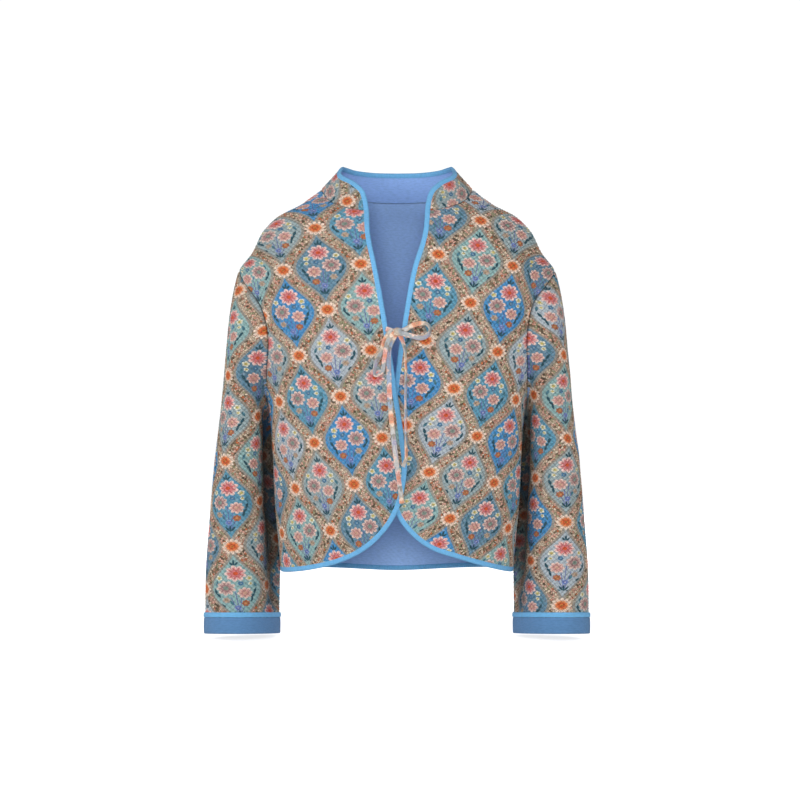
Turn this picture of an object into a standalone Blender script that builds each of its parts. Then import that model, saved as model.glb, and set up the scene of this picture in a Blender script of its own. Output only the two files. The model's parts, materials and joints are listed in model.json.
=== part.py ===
"""Quilted tie-front cardigan jacket, filled out with no wearer.

Metres, +Z up, front towards -Y, the wearer's left at +X. The origin is in the neck
opening, level with the high points of the shoulders.
"""

import math

import bmesh
import bpy
import numpy as np
from mathutils import geometry

# Cloth and trim sizes
WALL = 0.003
SEAM_GAP = 0.0003
BINDING_WIDTH = 0.0065
BINDING_HALF_THICKNESS = 0.0024
TIE_WIDTH = 0.0073
TIE_THICKNESS = 0.0018

# Sections of the trims, going round: shares of the width, and of the half thickness
BINDING_SHAPE = ((0, -0.8), (0.3, -1), (0.7, -0.9), (1, -0.35), (1, 0.35), (0.7, 0.9), (0.3, 1), (0, 0.8))
TIE_SHAPE = ((-1, 0), (-0.8, -1), (0.8, -1), (1, 0), (0.8, 1), (-0.8, 1))

# Mesh steps
FRONT_STEP = 0.018
BACK_STEP = 0.024
EDGE_STEP = 0.015
SLEEVE_SIDES = 26
SLEEVE_ROWS_PER_STATION = 2
COLLAR_ROWS = 3
BACK_NECK_POINTS = 11
BACK_HEM_POINTS = 18
CURVE_POINTS = 400
EDGE_CLEARANCE = 0.6
WELD = 1e-7
PROBE = 0.0002
SHARP_ANGLE = 50

# Main heights below the high shoulder points
SHOULDER_TIP = -0.121
UNDERARM = -0.310
SIDE_HEM = -0.570
BACK_HEM_DROP = 0.009
BACK_NECK_DROP = 0.012
ARMHOLE_FRONT_DEPTH = 0.062
ARMHOLE_BACK_DEPTH = 0.062

# Level sections of the body: half width at the sides, depth to front and back, and how square
TORSO_COLUMNS = ("height", "half_width", "front_depth", "back_depth", "squareness")
TORSO = (
    (-0.590, 0.1720, 0.103, 0.105, 2.8),
    (-0.525, 0.1770, 0.105, 0.108, 2.8),
    (-0.470, 0.1820, 0.108, 0.112, 2.8),
    (-0.400, 0.1860, 0.111, 0.115, 2.7),
    (-0.350, 0.1890, 0.114, 0.117, 2.6),
    (-0.310, 0.1945, 0.116, 0.118, 2.5),
    (-0.250, 0.2110, 0.117, 0.119, 2.3),
    (-0.180, 0.2270, 0.115, 0.118, 2.2),
    (-0.121, 0.2360, 0.108, 0.114, 2.1),
    (-0.097, 0.2180, 0.102, 0.109, 2.0),
    (-0.060, 0.1980, 0.091, 0.100, 2.0),
    (-0.039, 0.1750, 0.079, 0.092, 2.0),
    (-0.024, 0.1460, 0.062, 0.083, 2.0),
    (-0.012, 0.1290, 0.046, 0.076, 2.0),
    (0.000, 0.1140, 0.030, 0.066, 2.0),
)

# Front neck seam from the high shoulder point, seen from the front: across, height
FRONT_NECK = (
    (0.1140, 0.0000),
    (0.1010, -0.0186),
    (0.0820, -0.0284),
    (0.0478, -0.0372),
)

# Bound edge of each front from the neck to the side hem, seen from the front: across to its own side, height
FRONT_EDGE_RIGHT = (
    (0.0408, -0.037),
    (0.0390, -0.072),
    (0.0290, -0.122),
    (0.0130, -0.211),
    (0.0009, -0.293),
    (-0.0105, -0.373),
    (-0.0144, -0.413),
    (-0.0116, -0.439),
    (-0.0043, -0.469),
    (0.0135, -0.502),
    (0.0457, -0.533),
    (0.0819, -0.551),
    (0.1240, -0.562),
    (0.1720, SIDE_HEM),
)
FRONT_EDGE_LEFT = (
    (0.0415, -0.037),
    (0.0378, -0.072),
    (0.0230, -0.122),
    (0.0072, -0.211),
    (-0.0040, -0.293),
    (-0.0110, -0.362),
    (-0.0125, -0.412),
    (-0.0095, -0.450),
    (-0.0006, -0.482),
    (0.0174, -0.507),
    (0.0499, -0.532),
    (0.0860, -0.545),
    (0.1290, -0.558),
    (0.1720, SIDE_HEM),
)

# Where the fronts cross, the right one lies over the left one
CROSSING_LIFT = 0.0030
CROSSING_REACH = (0.020, 0.085)
CROSSING_TOP = (-0.190, -0.275)

# Height of a soft fold at its ends, as a share of its height in the middle
FOLD_END_SHARE = 0.35

# Soft folds of the body: degrees round the body and height of both ends, then width and rise
TORSO_FOLDS = (
    (11, -0.075, 19, -0.215, 0.015, -0.0060),
    (40, -0.330, 62, -0.200, 0.022, 0.0035),
    (16, -0.380, 40, -0.480, 0.028, -0.0035),
    (60, -0.360, 50, -0.520, 0.030, 0.0030),
    (163, -0.140, 160, -0.250, 0.015, -0.0040),
    (142, -0.330, 120, -0.200, 0.022, 0.0035),
    (166, -0.390, 144, -0.500, 0.028, -0.0035),
    (122, -0.350, 132, -0.530, 0.030, 0.0030),
    (-28, -0.320, -60, -0.190, 0.026, 0.0050),
    (-152, -0.320, -122, -0.200, 0.026, 0.0050),
    (-40, -0.400, -52, -0.560, 0.030, 0.0045),
    (-90, -0.330, -94, -0.560, 0.034, -0.0045),
    (-138, -0.410, -128, -0.560, 0.030, 0.0045),
)

# Sleeve stations from the armhole to the cuff fold: outer and inner edge, depth each way,
# and how far the inner edge lies back behind the side of the body
SLEEVE_COLUMNS = (
    "station", "outer_x", "outer_z", "inner_x", "inner_z", "half_depth", "middle_y", "inner_back",
)
SLEEVE = (
    (0, 0.2370, -0.122, 0.1955, -0.3105, 0.0660, -0.003, 0.000),
    (1, 0.2450, -0.150, 0.1955, -0.3200, 0.0700, -0.003, 0.010),
    (2, 0.2500, -0.185, 0.1932, -0.3300, 0.0710, -0.002, 0.026),
    (3, 0.2560, -0.250, 0.1888, -0.3450, 0.0700, -0.001, 0.041),
    (4, 0.2630, -0.325, 0.1855, -0.3700, 0.0690, 0.000, 0.052),
    (5, 0.2730, -0.411, 0.1815, -0.4250, 0.0660, -0.002, 0.060),
    (6, 0.2790, -0.482, 0.1775, -0.4860, 0.0590, -0.005, 0.056),
    (7, 0.2850, -0.565, 0.1740, -0.5650, 0.0520, -0.008, 0.042),
    (8, 0.2860, -0.631, 0.1735, -0.6310, 0.0465, -0.010, 0.042),
    (9, 0.2860, -0.6565, 0.1735, -0.6565, 0.0460, -0.010, 0.042),
)
SLEEVE_BLEND_STATIONS = 2.5
SLEEVE_UNDERARM_STANDOFF = 0.0024
SLEEVE_BACK_HOOK = 3
SLEEVE_FOLD_RADIUS = 0.055
SLEEVE_STATION_LENGTH = 0.070

# Soft folds of the sleeves: side, degrees round the sleeve and station of both ends, then width and rise
SLEEVE_FOLDS = (
    (1, 100, 1.2, 30, 3.4, 0.016, 0.0045),
    (1, 120, 4.2, 20, 4.8, 0.014, 0.0035),
    (1, 60, 5.6, 130, 6.3, 0.013, -0.0030),
    (1, 230, 4.0, 320, 5.2, 0.015, 0.0040),
    (1, 250, 6.0, 330, 6.6, 0.013, 0.0030),
    (-1, 105, 1.4, 40, 3.2, 0.016, 0.0045),
    (-1, 130, 3.9, 30, 4.9, 0.014, 0.0035),
    (-1, 70, 5.3, 140, 5.9, 0.013, -0.0030),
    (-1, 225, 4.3, 315, 5.0, 0.015, 0.0040),
    (-1, 240, 6.2, 335, 6.9, 0.013, 0.0030),
)

# Cloth edge of the collar from the front end to the middle of the back
COLLAR_COLUMNS = ("share", "across", "depth", "height")
COLLAR_EDGE = (
    (0.00, 0.0495, -0.0685, -0.0235),
    (0.06, 0.0540, -0.0625, -0.0105),
    (0.14, 0.0665, -0.0500, 0.0025),
    (0.25, 0.0835, -0.0330, 0.0125),
    (0.36, 0.0890, -0.0150, 0.0215),
    (0.45, 0.0865, 0.0040, 0.0305),
    (0.55, 0.0815, 0.0230, 0.0315),
    (0.70, 0.0650, 0.0470, 0.0285),
    (0.85, 0.0360, 0.0640, 0.0265),
    (1.00, 0.0000, 0.0700, 0.0262),
)

# Turned-back cuff and the binding of its upper edge
CUFF_TOP = -0.6400
CUFF_BOTTOM = -0.6600
CUFF_PROUD = 0.0028
CUFF_ROUNDING = 0.0012
CUFF_BINDING_TOP = -0.6315
CUFF_BINDING_PROUD = 0.0032

# Knot of the bow
KNOT_CENTRE = (0.0008, -0.2172)
KNOT_HALF_SIZE = (0.0065, 0.0058, 0.0060)
KNOT_STANDOFF = 0.0062
KNOT_SQUARENESS = 0.75
KNOT_RINGS = 7
KNOT_SIDES = 12

# Tie routes seen from the front: across, height, distance in front of the cloth, and turn from facing
TIE_LEAD_RIGHT = (
    (-0.0160, -0.2125, 0.0022, 0),
    (-0.0110, -0.2140, 0.0032, 0),
    (-0.0059, -0.2155, 0.0048, 0),
)
TIE_LEAD_LEFT = (
    (0.0150, -0.2125, 0.0005, 0),
    (0.0110, -0.2140, 0.0022, 0),
    (0.0074, -0.2155, 0.0046, 0),
)
TIE_LOOP_RIGHT = (
    (-0.0084, -0.2165, 0.0080, 0),
    (-0.0160, -0.2260, 0.0095, 25),
    (-0.0225, -0.2460, 0.0105, 35),
    (-0.0315, -0.2670, 0.0100, 45),
    (-0.0310, -0.2800, 0.0105, 60),
    (-0.0225, -0.2760, 0.0115, 45),
    (-0.0180, -0.2560, 0.0125, 35),
    (-0.0145, -0.2370, 0.0125, 25),
    (-0.0090, -0.2235, 0.0112, 0),
)
TIE_LOOP_LEFT = (
    (0.0079, -0.2158, 0.0076, 0),
    (0.0200, -0.2092, 0.0105, 20),
    (0.0325, -0.2050, 0.0120, 30),
    (0.0430, -0.2060, 0.0130, 50),
    (0.0478, -0.2130, 0.0130, 70),
    (0.0440, -0.2225, 0.0122, 50),
    (0.0345, -0.2260, 0.0115, 25),
    (0.0220, -0.2232, 0.0112, 12),
    (0.0070, -0.2194, 0.0106, 0),
)
TIE_TAIL_RIGHT = (
    (-0.0030, -0.2229, 0.0082, 0),
    (-0.0105, -0.2390, 0.0080, 0),
    (-0.0118, -0.2640, 0.0072, 5),
    (-0.0110, -0.2950, 0.0070, 8),
    (-0.0090, -0.3300, 0.0070, 5),
    (-0.0060, -0.3600, 0.0070, 0),
    (-0.0015, -0.3980, 0.0070, 10),
    (0.0025, -0.4290, 0.0070, 35),
    (0.0060, -0.4530, 0.0070, 20),
    (0.0072, -0.4640, 0.0070, 10),
)
TIE_TAIL_LEFT = (
    (0.0046, -0.2229, 0.0082, 30),
    (0.0105, -0.2380, 0.0082, 60),
    (0.0125, -0.2630, 0.0080, 70),
    (0.0127, -0.2950, 0.0080, 70),
    (0.0124, -0.3350, 0.0080, 70),
    (0.0130, -0.3770, 0.0080, 70),
    (0.0118, -0.4040, 0.0082, 55),
    (0.0085, -0.4110, 0.0088, 40),
)
TIE_STEP = 0.009

# Plain colours of the materials
PRINT_COLOUR = (0.42, 0.36, 0.33, 1.0)
LINING_COLOUR = (0.13, 0.25, 0.52, 1.0)
BINDING_COLOUR = (0.17, 0.42, 0.74, 1.0)
TIE_COLOUR = (0.52, 0.44, 0.38, 1.0)
CLOTH_ROUGHNESS = 0.9


def clear_scene():
    for old in list(bpy.data.objects):
        bpy.data.objects.remove(old, do_unlink=True)


def curve_through(keys, values):
    """A smooth curve through values given at rising keys."""
    keys = np.asarray(keys, dtype=float)
    values = np.asarray(values, dtype=float)
    tangents = np.gradient(values, keys, axis=0)

    def curve(position):
        position = np.clip(np.asarray(position, dtype=float), keys[0], keys[-1])
        index = np.clip(np.searchsorted(keys, position, side="right") - 1, 0, len(keys) - 2)
        step = keys[index + 1] - keys[index]
        share = (position - keys[index]) / step
        if values.ndim > 1:
            share = share[..., None]
            step = step[..., None]
        rest = 1 - share
        start = (1 + 2 * share) * rest ** 2 * values[index]
        finish = share ** 2 * (3 - 2 * share) * values[index + 1]
        leave = share * rest ** 2 * step * tangents[index]
        arrive = share ** 2 * rest * step * tangents[index + 1]
        return start + finish + leave - arrive

    return curve


def column_curves(columns, rows):
    """One curve for each column, keyed by the first column."""
    table = np.array(rows, dtype=float)
    return {name: curve_through(table[:, 0], table[:, i + 1]) for i, name in enumerate(columns[1:])}


def walked_lengths(points, places=3):
    """Length walked along points, measured by their first few columns."""
    steps = np.linalg.norm(np.diff(points[:, :places], axis=0), axis=1)
    return np.concatenate(([0.0], np.cumsum(steps)))


def even_points(points, step):
    """Points at even steps along the smooth curve through points."""
    points = np.array(points, dtype=float)
    keys = walked_lengths(points)
    dense = curve_through(keys, points)(np.linspace(0, keys[-1], CURVE_POINTS))
    walked = walked_lengths(dense)
    count = max(2, int(round(walked[-1] / step)) + 1)
    at = np.linspace(0, walked[-1], count)
    return np.stack([np.interp(at, walked, dense[:, i]) for i in range(dense.shape[1])], axis=1)


def smooth_step(value, start, finish):
    share = np.clip((value - start) / (finish - start), 0, 1)
    return share * share * (3 - 2 * share)


def unit(vectors):
    return vectors / np.linalg.norm(vectors, axis=-1, keepdims=True)


def fold_rise(place, start, finish, width, rise):
    """Height of a soft fold that runs from start to finish and fades at both ends."""
    along = finish - start
    length = np.linalg.norm(along)
    share = np.clip(((place - start) @ along) / length ** 2, 0, 1)
    away = np.linalg.norm(place - (start + share[..., None] * along), axis=-1)
    fade = FOLD_END_SHARE + (1 - FOLD_END_SHARE) * np.sin(np.pi * share)
    return rise * fade * np.exp(-((away / width) ** 2))


SECTION = column_curves(TORSO_COLUMNS, TORSO)
MEAN_RADIUS = 0.150
ARMHOLE_MIDDLE = (SHOULDER_TIP + UNDERARM) / 2
ARMHOLE_HALF_HEIGHT = (SHOULDER_TIP - UNDERARM) / 2
BOUND_EDGE = BINDING_WIDTH + SEAM_GAP


def slope_lengths():
    """Heights and the length walked up the side line, for even steps over the shoulder."""
    heights = np.linspace(TORSO[0][0], TORSO[-1][0], CURVE_POINTS)
    rise = np.gradient(SECTION["half_width"](heights), heights)
    rate = np.where(heights > SHOULDER_TIP, np.sqrt(1 + rise ** 2), 1.0)
    walked = np.concatenate(([0.0], np.cumsum((rate[1:] + rate[:-1]) / 2 * np.diff(heights))))
    return heights, walked


HEIGHT_STEPS, HEIGHT_WALKED = slope_lengths()


def to_pattern(angle, height):
    """Flat pattern place of a point on the body."""
    return np.stack([angle * MEAN_RADIUS, np.interp(height, HEIGHT_STEPS, HEIGHT_WALKED)], axis=-1)


def from_pattern(place):
    return place[..., 0] / MEAN_RADIUS, np.interp(place[..., 1], HEIGHT_WALKED, HEIGHT_STEPS)


def torso_point(angle, height, layer=0):
    """Outer cloth surface of the body; layer is 1 on the upper front and -1 on the lower one."""
    cosine = np.cos(angle)
    sine = np.sin(angle)
    depth = np.where(sine > 0, SECTION["front_depth"](height), SECTION["back_depth"](height))
    power = SECTION["squareness"](height)
    wide = np.abs(cosine) / SECTION["half_width"](height)
    deep = np.abs(sine) / depth
    radius = (wide ** power + deep ** power) ** (-1 / power)
    place = to_pattern(angle, height)
    for angle_a, height_a, angle_b, height_b, width, rise in TORSO_FOLDS:
        start = to_pattern(math.radians(angle_a), height_a)
        finish = to_pattern(math.radians(angle_b), height_b)
        radius = radius + fold_rise(place, start, finish, width, rise)
    if layer:
        across = np.abs(radius * cosine)
        near = 1 - smooth_step(across, *CROSSING_REACH)
        low = smooth_step(-height, -CROSSING_TOP[0], -CROSSING_TOP[1])
        radius = radius + layer * CROSSING_LIFT * near * low
    return np.stack([radius * cosine, -radius * sine, height + 0 * radius], axis=-1)


def torso_normal(angle, height, layer=0):
    turn = torso_point(angle + PROBE / MEAN_RADIUS, height, layer)
    turn = turn - torso_point(angle - PROBE / MEAN_RADIUS, height, layer)
    lift = torso_point(angle, height + PROBE, layer) - torso_point(angle, height - PROBE, layer)
    return unit(np.cross(lift, turn))


def front_angle(across, height):
    """Angle on the front of the body of a point seen from the front."""
    power = SECTION["squareness"](height)
    share = np.clip(np.abs(across) / SECTION["half_width"](height), 0, 1)
    depth = SECTION["front_depth"](height) * (1 - share ** power) ** (1 / power)
    return np.arctan2(depth, across)


def armhole(turn, clearance=0.0):
    """Angle and height on the armhole; turn runs from the shoulder tip over the front."""
    sine = np.sin(turn)
    height = ARMHOLE_MIDDLE + (ARMHOLE_HALF_HEIGHT - clearance) * np.cos(turn)
    reach = np.where(sine > 0, ARMHOLE_FRONT_DEPTH, ARMHOLE_BACK_DEPTH) - clearance
    depth = reach * np.abs(sine)
    full = np.where(sine > 0, SECTION["front_depth"](height), SECTION["back_depth"](height))
    power = SECTION["squareness"](height)
    across = SECTION["half_width"](height) * (1 - (depth / full) ** power) ** (1 / power)
    return np.sign(sine) * np.arctan2(depth, across), height


def inset_edge(points, distance):
    """Points moved to the left of their path in the flat view."""
    along = unit(np.gradient(points, axis=0))
    return points + distance * np.stack([-along[:, 1], along[:, 0]], axis=1)


def front_cut_edge(side):
    """Cloth edge of a front under its binding, as angles and heights from the neck down."""
    finished = even_points(FRONT_EDGE_LEFT if side > 0 else FRONT_EDGE_RIGHT, EDGE_STEP / 10)
    cloth = inset_edge(finished, BOUND_EDGE)
    cloth[0, 1] = FRONT_NECK[-1][1]
    cloth[-1, 1] = SIDE_HEM + BOUND_EDGE
    angle = front_angle(cloth[:, 0], cloth[:, 1])
    angle[-1] = side_gap(cloth[-1, 1])
    walked = walked_lengths(torso_point(angle, cloth[:, 1]))
    at = np.linspace(0, walked[-1], int(round(walked[-1] / EDGE_STEP)) + 1)
    return np.interp(at, walked, angle), np.interp(at, walked, cloth[:, 1])


def front_neck_edge():
    """Front neck seam from the high shoulder point to the front edge."""
    points = even_points(FRONT_NECK, EDGE_STEP)
    angle = front_angle(points[:, 0], points[:, 1])
    angle[0] = side_gap(points[0, 1])
    return angle, points[:, 1]


def side_gap(height):
    """Half of the seam gap between front and back, as an angle."""
    return SEAM_GAP / 2 / SECTION["half_width"](height)


def armhole_edge(front):
    """Armhole of a panel from the underarm to the shoulder tip."""
    count = int(round(math.pi * ARMHOLE_HALF_HEIGHT / EDGE_STEP)) + 1
    turn = np.linspace(math.pi, 0, count)
    angle, height = armhole(turn if front else -turn)
    gap = side_gap(height)
    return (np.maximum(angle, gap) if front else np.minimum(angle, -gap)), height


def straight_heights(low, high, step=EDGE_STEP):
    """Heights strictly between low and high, at even steps of the pattern."""
    low_walk, high_walk = np.interp((low, high), HEIGHT_STEPS, HEIGHT_WALKED)
    count = max(2, int(round((high_walk - low_walk) / step)) + 1)
    return np.interp(np.linspace(low_walk, high_walk, count)[1:-1], HEIGHT_WALKED, HEIGHT_STEPS)


def back_neck_edge():
    """Back neck seam from the high shoulder point to the middle of the back."""
    share = np.linspace(0, 1, BACK_NECK_POINTS)
    angle = -share * math.pi / 2
    angle[0] = -side_gap(0.0)
    return angle, -BACK_NECK_DROP * (1 - (1 - share) ** 2)


def back_hem_edge():
    """Cloth edge of the back hem from the side to the middle of the back."""
    share = np.linspace(0, 1, BACK_HEM_POINTS)
    angle = -share * math.pi / 2
    height = SIDE_HEM + BOUND_EDGE - BACK_HEM_DROP * np.sin(share * math.pi / 2) ** 2
    angle[0] = -side_gap(height[0])
    return angle, height


def front_outline(side):
    """Closed outline of a front as angles and heights, from the side hem upwards."""
    cut_angle, cut_height = front_cut_edge(side)
    hole_angle, hole_height = armhole_edge(True)
    neck_angle, neck_height = front_neck_edge()
    side = straight_heights(cut_height[-1], hole_height[0])
    shoulder = straight_heights(hole_height[-1], neck_height[0])
    angle = (side_gap(side), hole_angle, side_gap(shoulder), neck_angle[:-1], cut_angle)
    height = (side, hole_height, shoulder, neck_height[:-1], cut_height)
    return np.concatenate(angle), np.concatenate(height)


def back_outline():
    """Closed outline of the back, from its left hem corner upwards and round."""
    hem_angle, hem_height = back_hem_edge()
    hole_angle, hole_height = armhole_edge(False)
    neck_angle, neck_height = back_neck_edge()
    side = straight_heights(hem_height[0], hole_height[0])
    shoulder = straight_heights(hole_height[-1], neck_height[0])
    angle = np.concatenate((-side_gap(side), hole_angle, -side_gap(shoulder), neck_angle))
    height = np.concatenate((side, hole_height, shoulder, neck_height))
    angle = np.concatenate((hem_angle[::-1], angle))
    height = np.concatenate((hem_height[::-1], height))
    mirrored = -math.pi - angle[1:-1]
    return np.concatenate((angle, mirrored[::-1])), np.concatenate((height, height[1:-1][::-1]))


def make_material(name, colour):
    material = bpy.data.materials.new(name)
    material.use_nodes = True
    shader = material.node_tree.nodes["Principled BSDF"]
    shader.inputs["Base Color"].default_value = colour
    shader.inputs["Roughness"].default_value = CLOTH_ROUGHNESS
    shader.inputs["Metallic"].default_value = 0.0
    return material


def make_object(name, points, faces, colour):
    """A closed mesh object with its faces outwards and a material of its own."""
    mesh = bpy.data.meshes.new(name)
    mesh.from_pydata([tuple(point) for point in points], [], faces)
    shape = bmesh.new()
    shape.from_mesh(mesh)
    bmesh.ops.recalc_face_normals(shape, faces=shape.faces)
    bmesh.ops.triangulate(shape, faces=shape.faces)
    shape.to_mesh(mesh)
    shape.free()
    mesh.shade_smooth()
    mesh.set_sharp_from_angle(angle=math.radians(SHARP_ANGLE))
    made = bpy.data.objects.new(name, mesh)
    mesh.materials.append(make_material(name + "_cloth", colour))
    bpy.context.collection.objects.link(made)
    return made


def inside_outline(places, outline, margin):
    """Places inside a closed outline and at least margin from its points."""
    inside = np.zeros(len(places), dtype=bool)
    before = np.roll(outline, 1, axis=0)
    for (x0, y0), (x1, y1) in zip(before, outline):
        crosses = (y0 > places[:, 1]) != (y1 > places[:, 1])
        if y0 != y1:
            at = x0 + (places[:, 1] - y0) * (x1 - x0) / (y1 - y0)
            inside ^= crosses & (places[:, 0] < at)
    away = np.linalg.norm(places[:, None, :] - outline[None, :, :], axis=2).min(axis=1)
    return places[inside & (away > margin)]


def panel_mesh(outline, step):
    """Flat triangles that fill an outline with even staggered points."""
    low = outline.min(axis=0)
    high = outline.max(axis=0)
    rows = np.arange(low[1], high[1], step * math.sqrt(3) / 2)
    grid = []
    for i, row in enumerate(rows):
        start = low[0] + (step / 2 if i % 2 else 0)
        grid.extend((column, row) for column in np.arange(start, high[0], step))
    inner = inside_outline(np.array(grid), outline, EDGE_CLEARANCE * step)
    places = np.concatenate((outline, inner))
    loop = list(range(len(outline)))
    edges = [(i, (i + 1) % len(loop)) for i in loop]
    found = geometry.delaunay_2d_cdt([tuple(place) for place in places], edges, [loop], 1, WELD)
    return np.array([tuple(place) for place in found[0]]), [tuple(face) for face in found[2]]


def thick_shell(outer, inner, faces):
    """Closed faces of a wall between outer and inner points that share the same faces."""
    count = len(outer)
    sides = {}
    for face in faces:
        for i, corner in enumerate(face):
            edge = (corner, face[(i + 1) % len(face)])
            sides[edge] = True
    closed = list(faces)
    closed.extend(tuple(corner + count for corner in reversed(face)) for face in faces)
    for start, finish in sides:
        if (finish, start) not in sides:
            closed.append((finish, start, start + count, finish + count))
    return np.concatenate((outer, inner)), closed


def make_panel(name, outline, layer, step):
    """A cloth panel cut to its outline and laid on the body."""
    places, faces = panel_mesh(to_pattern(*outline), step)
    angle, height = from_pattern(places)
    outer = torso_point(angle, height, layer)
    inner = outer - WALL * torso_normal(angle, height, layer)
    return make_object(name, *thick_shell(outer, inner, faces), PRINT_COLOUR)


def side_angles(side, angle):
    """Angles of the left half, or of its mirror image on the right."""
    return angle if side > 0 else math.pi - angle


def sweep(middles, outwards, normals, section):
    """Closed solid of a section, in outward and normal sizes, moved along a path."""
    count = len(section)
    points = []
    for middle, outward, normal in zip(middles, outwards, normals):
        points.extend(middle + a * outward + b * normal for a, b in section)
    faces = []
    for i in range(len(middles) - 1):
        for j in range(count):
            k = (j + 1) % count
            faces.append((i * count + j, i * count + k, (i + 1) * count + k, (i + 1) * count + j))
    last = (len(middles) - 1) * count
    faces.append(tuple(range(count)))
    faces.append(tuple(last + j for j in range(count)))
    return points, faces


def trimmed(path, amount):
    """A path shortened by amount at both ends, with the same number of points."""
    walked = walked_lengths(path)
    at = walked.copy()
    at[0] = amount
    at[-1] = walked[-1] - amount
    return np.stack([np.interp(at, walked, path[:, i]) for i in range(path.shape[1])], axis=1)


def make_binding(name, edge, normals, sign):
    """Binding along a cloth edge; sign picks the side of the path that is off the cloth."""
    middles = trimmed(edge - WALL / 2 * normals, SEAM_GAP / 2)
    along = unit(np.gradient(middles, axis=0))
    outwards = sign * unit(np.cross(along, normals))
    section = [(SEAM_GAP + out * BINDING_WIDTH, off * BINDING_HALF_THICKNESS) for out, off in BINDING_SHAPE]
    points, faces = sweep(middles, outwards, np.cross(outwards, along) * sign, section)
    return make_object(name, points, faces, BINDING_COLOUR)


def make_front(name, side, layer):
    angle, height = front_outline(side)
    make_panel(name, (side_angles(side, angle), height), layer, FRONT_STEP)


def make_front_binding(name, side, layer):
    angle, height = front_cut_edge(side)
    angle = side_angles(side, angle)
    edge = torso_point(angle, height, layer)
    make_binding(name, edge, torso_normal(angle, height, layer), side)


def make_back_binding():
    angle, height = back_hem_edge()
    angle = np.concatenate((angle, -math.pi - angle[:-1][::-1]))
    height = np.concatenate((height, height[:-1][::-1]))
    make_binding("binding_back", torso_point(angle, height), torso_normal(angle, height), 1)


SLEEVE_CURVES = column_curves(SLEEVE_COLUMNS, SLEEVE)


def sleeve_pattern(turn, station):
    """Flat pattern place of a point on a sleeve."""
    return np.stack([turn * SLEEVE_FOLD_RADIUS, station * SLEEVE_STATION_LENGTH], axis=-1)


def sleeve_point(turn, station, side):
    """Outer surface of a sleeve as on the left; turn runs from its outer line over the front."""
    row = {name: curve(station) for name, curve in SLEEVE_CURVES.items()}
    cosine = np.cos(turn)
    sine = np.sin(turn)
    x = (row["outer_x"] + row["inner_x"]) / 2 + (row["outer_x"] - row["inner_x"]) / 2 * cosine
    hook = row["inner_back"] * ((1 - cosine) / 2) ** SLEEVE_BACK_HOOK
    y = row["middle_y"] - row["half_depth"] * sine + hook
    z = (row["outer_z"] + row["inner_z"]) / 2 + (row["outer_z"] - row["inner_z"]) / 2 * cosine
    tube = np.stack([x, y, z], axis=-1)
    wrapped = (turn + math.pi) % (2 * math.pi) - math.pi
    angle, height = armhole(wrapped, clearance=2 * SEAM_GAP)
    seam = torso_point(side_angles(side, angle), height) * np.array([side, 1, 1])
    seam[..., 0] += SEAM_GAP + SLEEVE_UNDERARM_STANDOFF * (1 - cosine) / 2
    share = smooth_step(station, 0, SLEEVE_BLEND_STATIONS)[..., None]
    place = seam + (tube - seam) * share
    outward = np.stack([cosine, -sine, 0 * cosine], axis=-1)
    flat = sleeve_pattern(turn, station)
    for fold_side, angle_a, station_a, angle_b, station_b, width, rise in SLEEVE_FOLDS:
        if fold_side == side:
            start = sleeve_pattern(math.radians(angle_a), station_a)
            finish = sleeve_pattern(math.radians(angle_b), station_b)
            place = place + outward * fold_rise(flat, start, finish, width, rise)[..., None]
    return place


def sleeve_rings(side):
    """Outer points of a sleeve, ring by ring from the armhole to the cuff fold."""
    rows = SLEEVE_ROWS_PER_STATION * (len(SLEEVE) - 1) + 1
    station, turn = np.meshgrid(
        np.linspace(0, len(SLEEVE) - 1, rows),
        np.arange(SLEEVE_SIDES) * 2 * math.pi / SLEEVE_SIDES,
        indexing="ij",
    )
    return sleeve_point(turn, station, side)


def ring_normals(rings):
    """Outward normals of points in rings."""
    around = np.roll(rings, -1, axis=1) - np.roll(rings, 1, axis=1)
    along = np.gradient(rings, axis=0)
    return unit(np.cross(around, along))


def ring_faces(rows, columns):
    faces = []
    for i in range(rows - 1):
        for j in range(columns):
            k = (j + 1) % columns
            faces.append((i * columns + j, i * columns + k, (i + 1) * columns + k, (i + 1) * columns + j))
    return faces


def make_sleeve(name, side):
    rings = sleeve_rings(side)
    normals = ring_normals(rings)
    mirror = np.array([side, 1, 1])
    outer = (rings * mirror).reshape(-1, 3)
    inner = ((rings - WALL * normals) * mirror).reshape(-1, 3)
    faces = ring_faces(rings.shape[0], SLEEVE_SIDES)
    make_object(name, *thick_shell(outer, inner, faces), PRINT_COLOUR)


def make_cuff_ring(name, side, section, colour):
    """A ring round the end of a sleeve, its section given by distance off the sleeve and height."""
    turn = np.arange(SLEEVE_SIDES) * 2 * math.pi / SLEEVE_SIDES
    normal = unit(ring_normals(sleeve_rings(side))[-1] * np.array([1, 1, 0]))
    mirror = np.array([side, 1, 1])
    last = len(SLEEVE) - 1
    rows = []
    for off, height in section:
        station = np.interp(height, (SLEEVE[last][2], SLEEVE[last - 1][2]), (last, last - 1))
        row = sleeve_point(turn, station + 0 * turn, side) + off * normal
        row[:, 2] = height
        rows.append(row * mirror)
    count = len(section)
    points = np.concatenate(rows)
    faces = []
    for i in range(count):
        for j in range(SLEEVE_SIDES):
            k = (j + 1) % SLEEVE_SIDES
            a = i * SLEEVE_SIDES
            b = (i + 1) % count * SLEEVE_SIDES
            faces.append((a + j, a + k, b + k, b + j))
    make_object(name, points, faces, colour)


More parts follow.
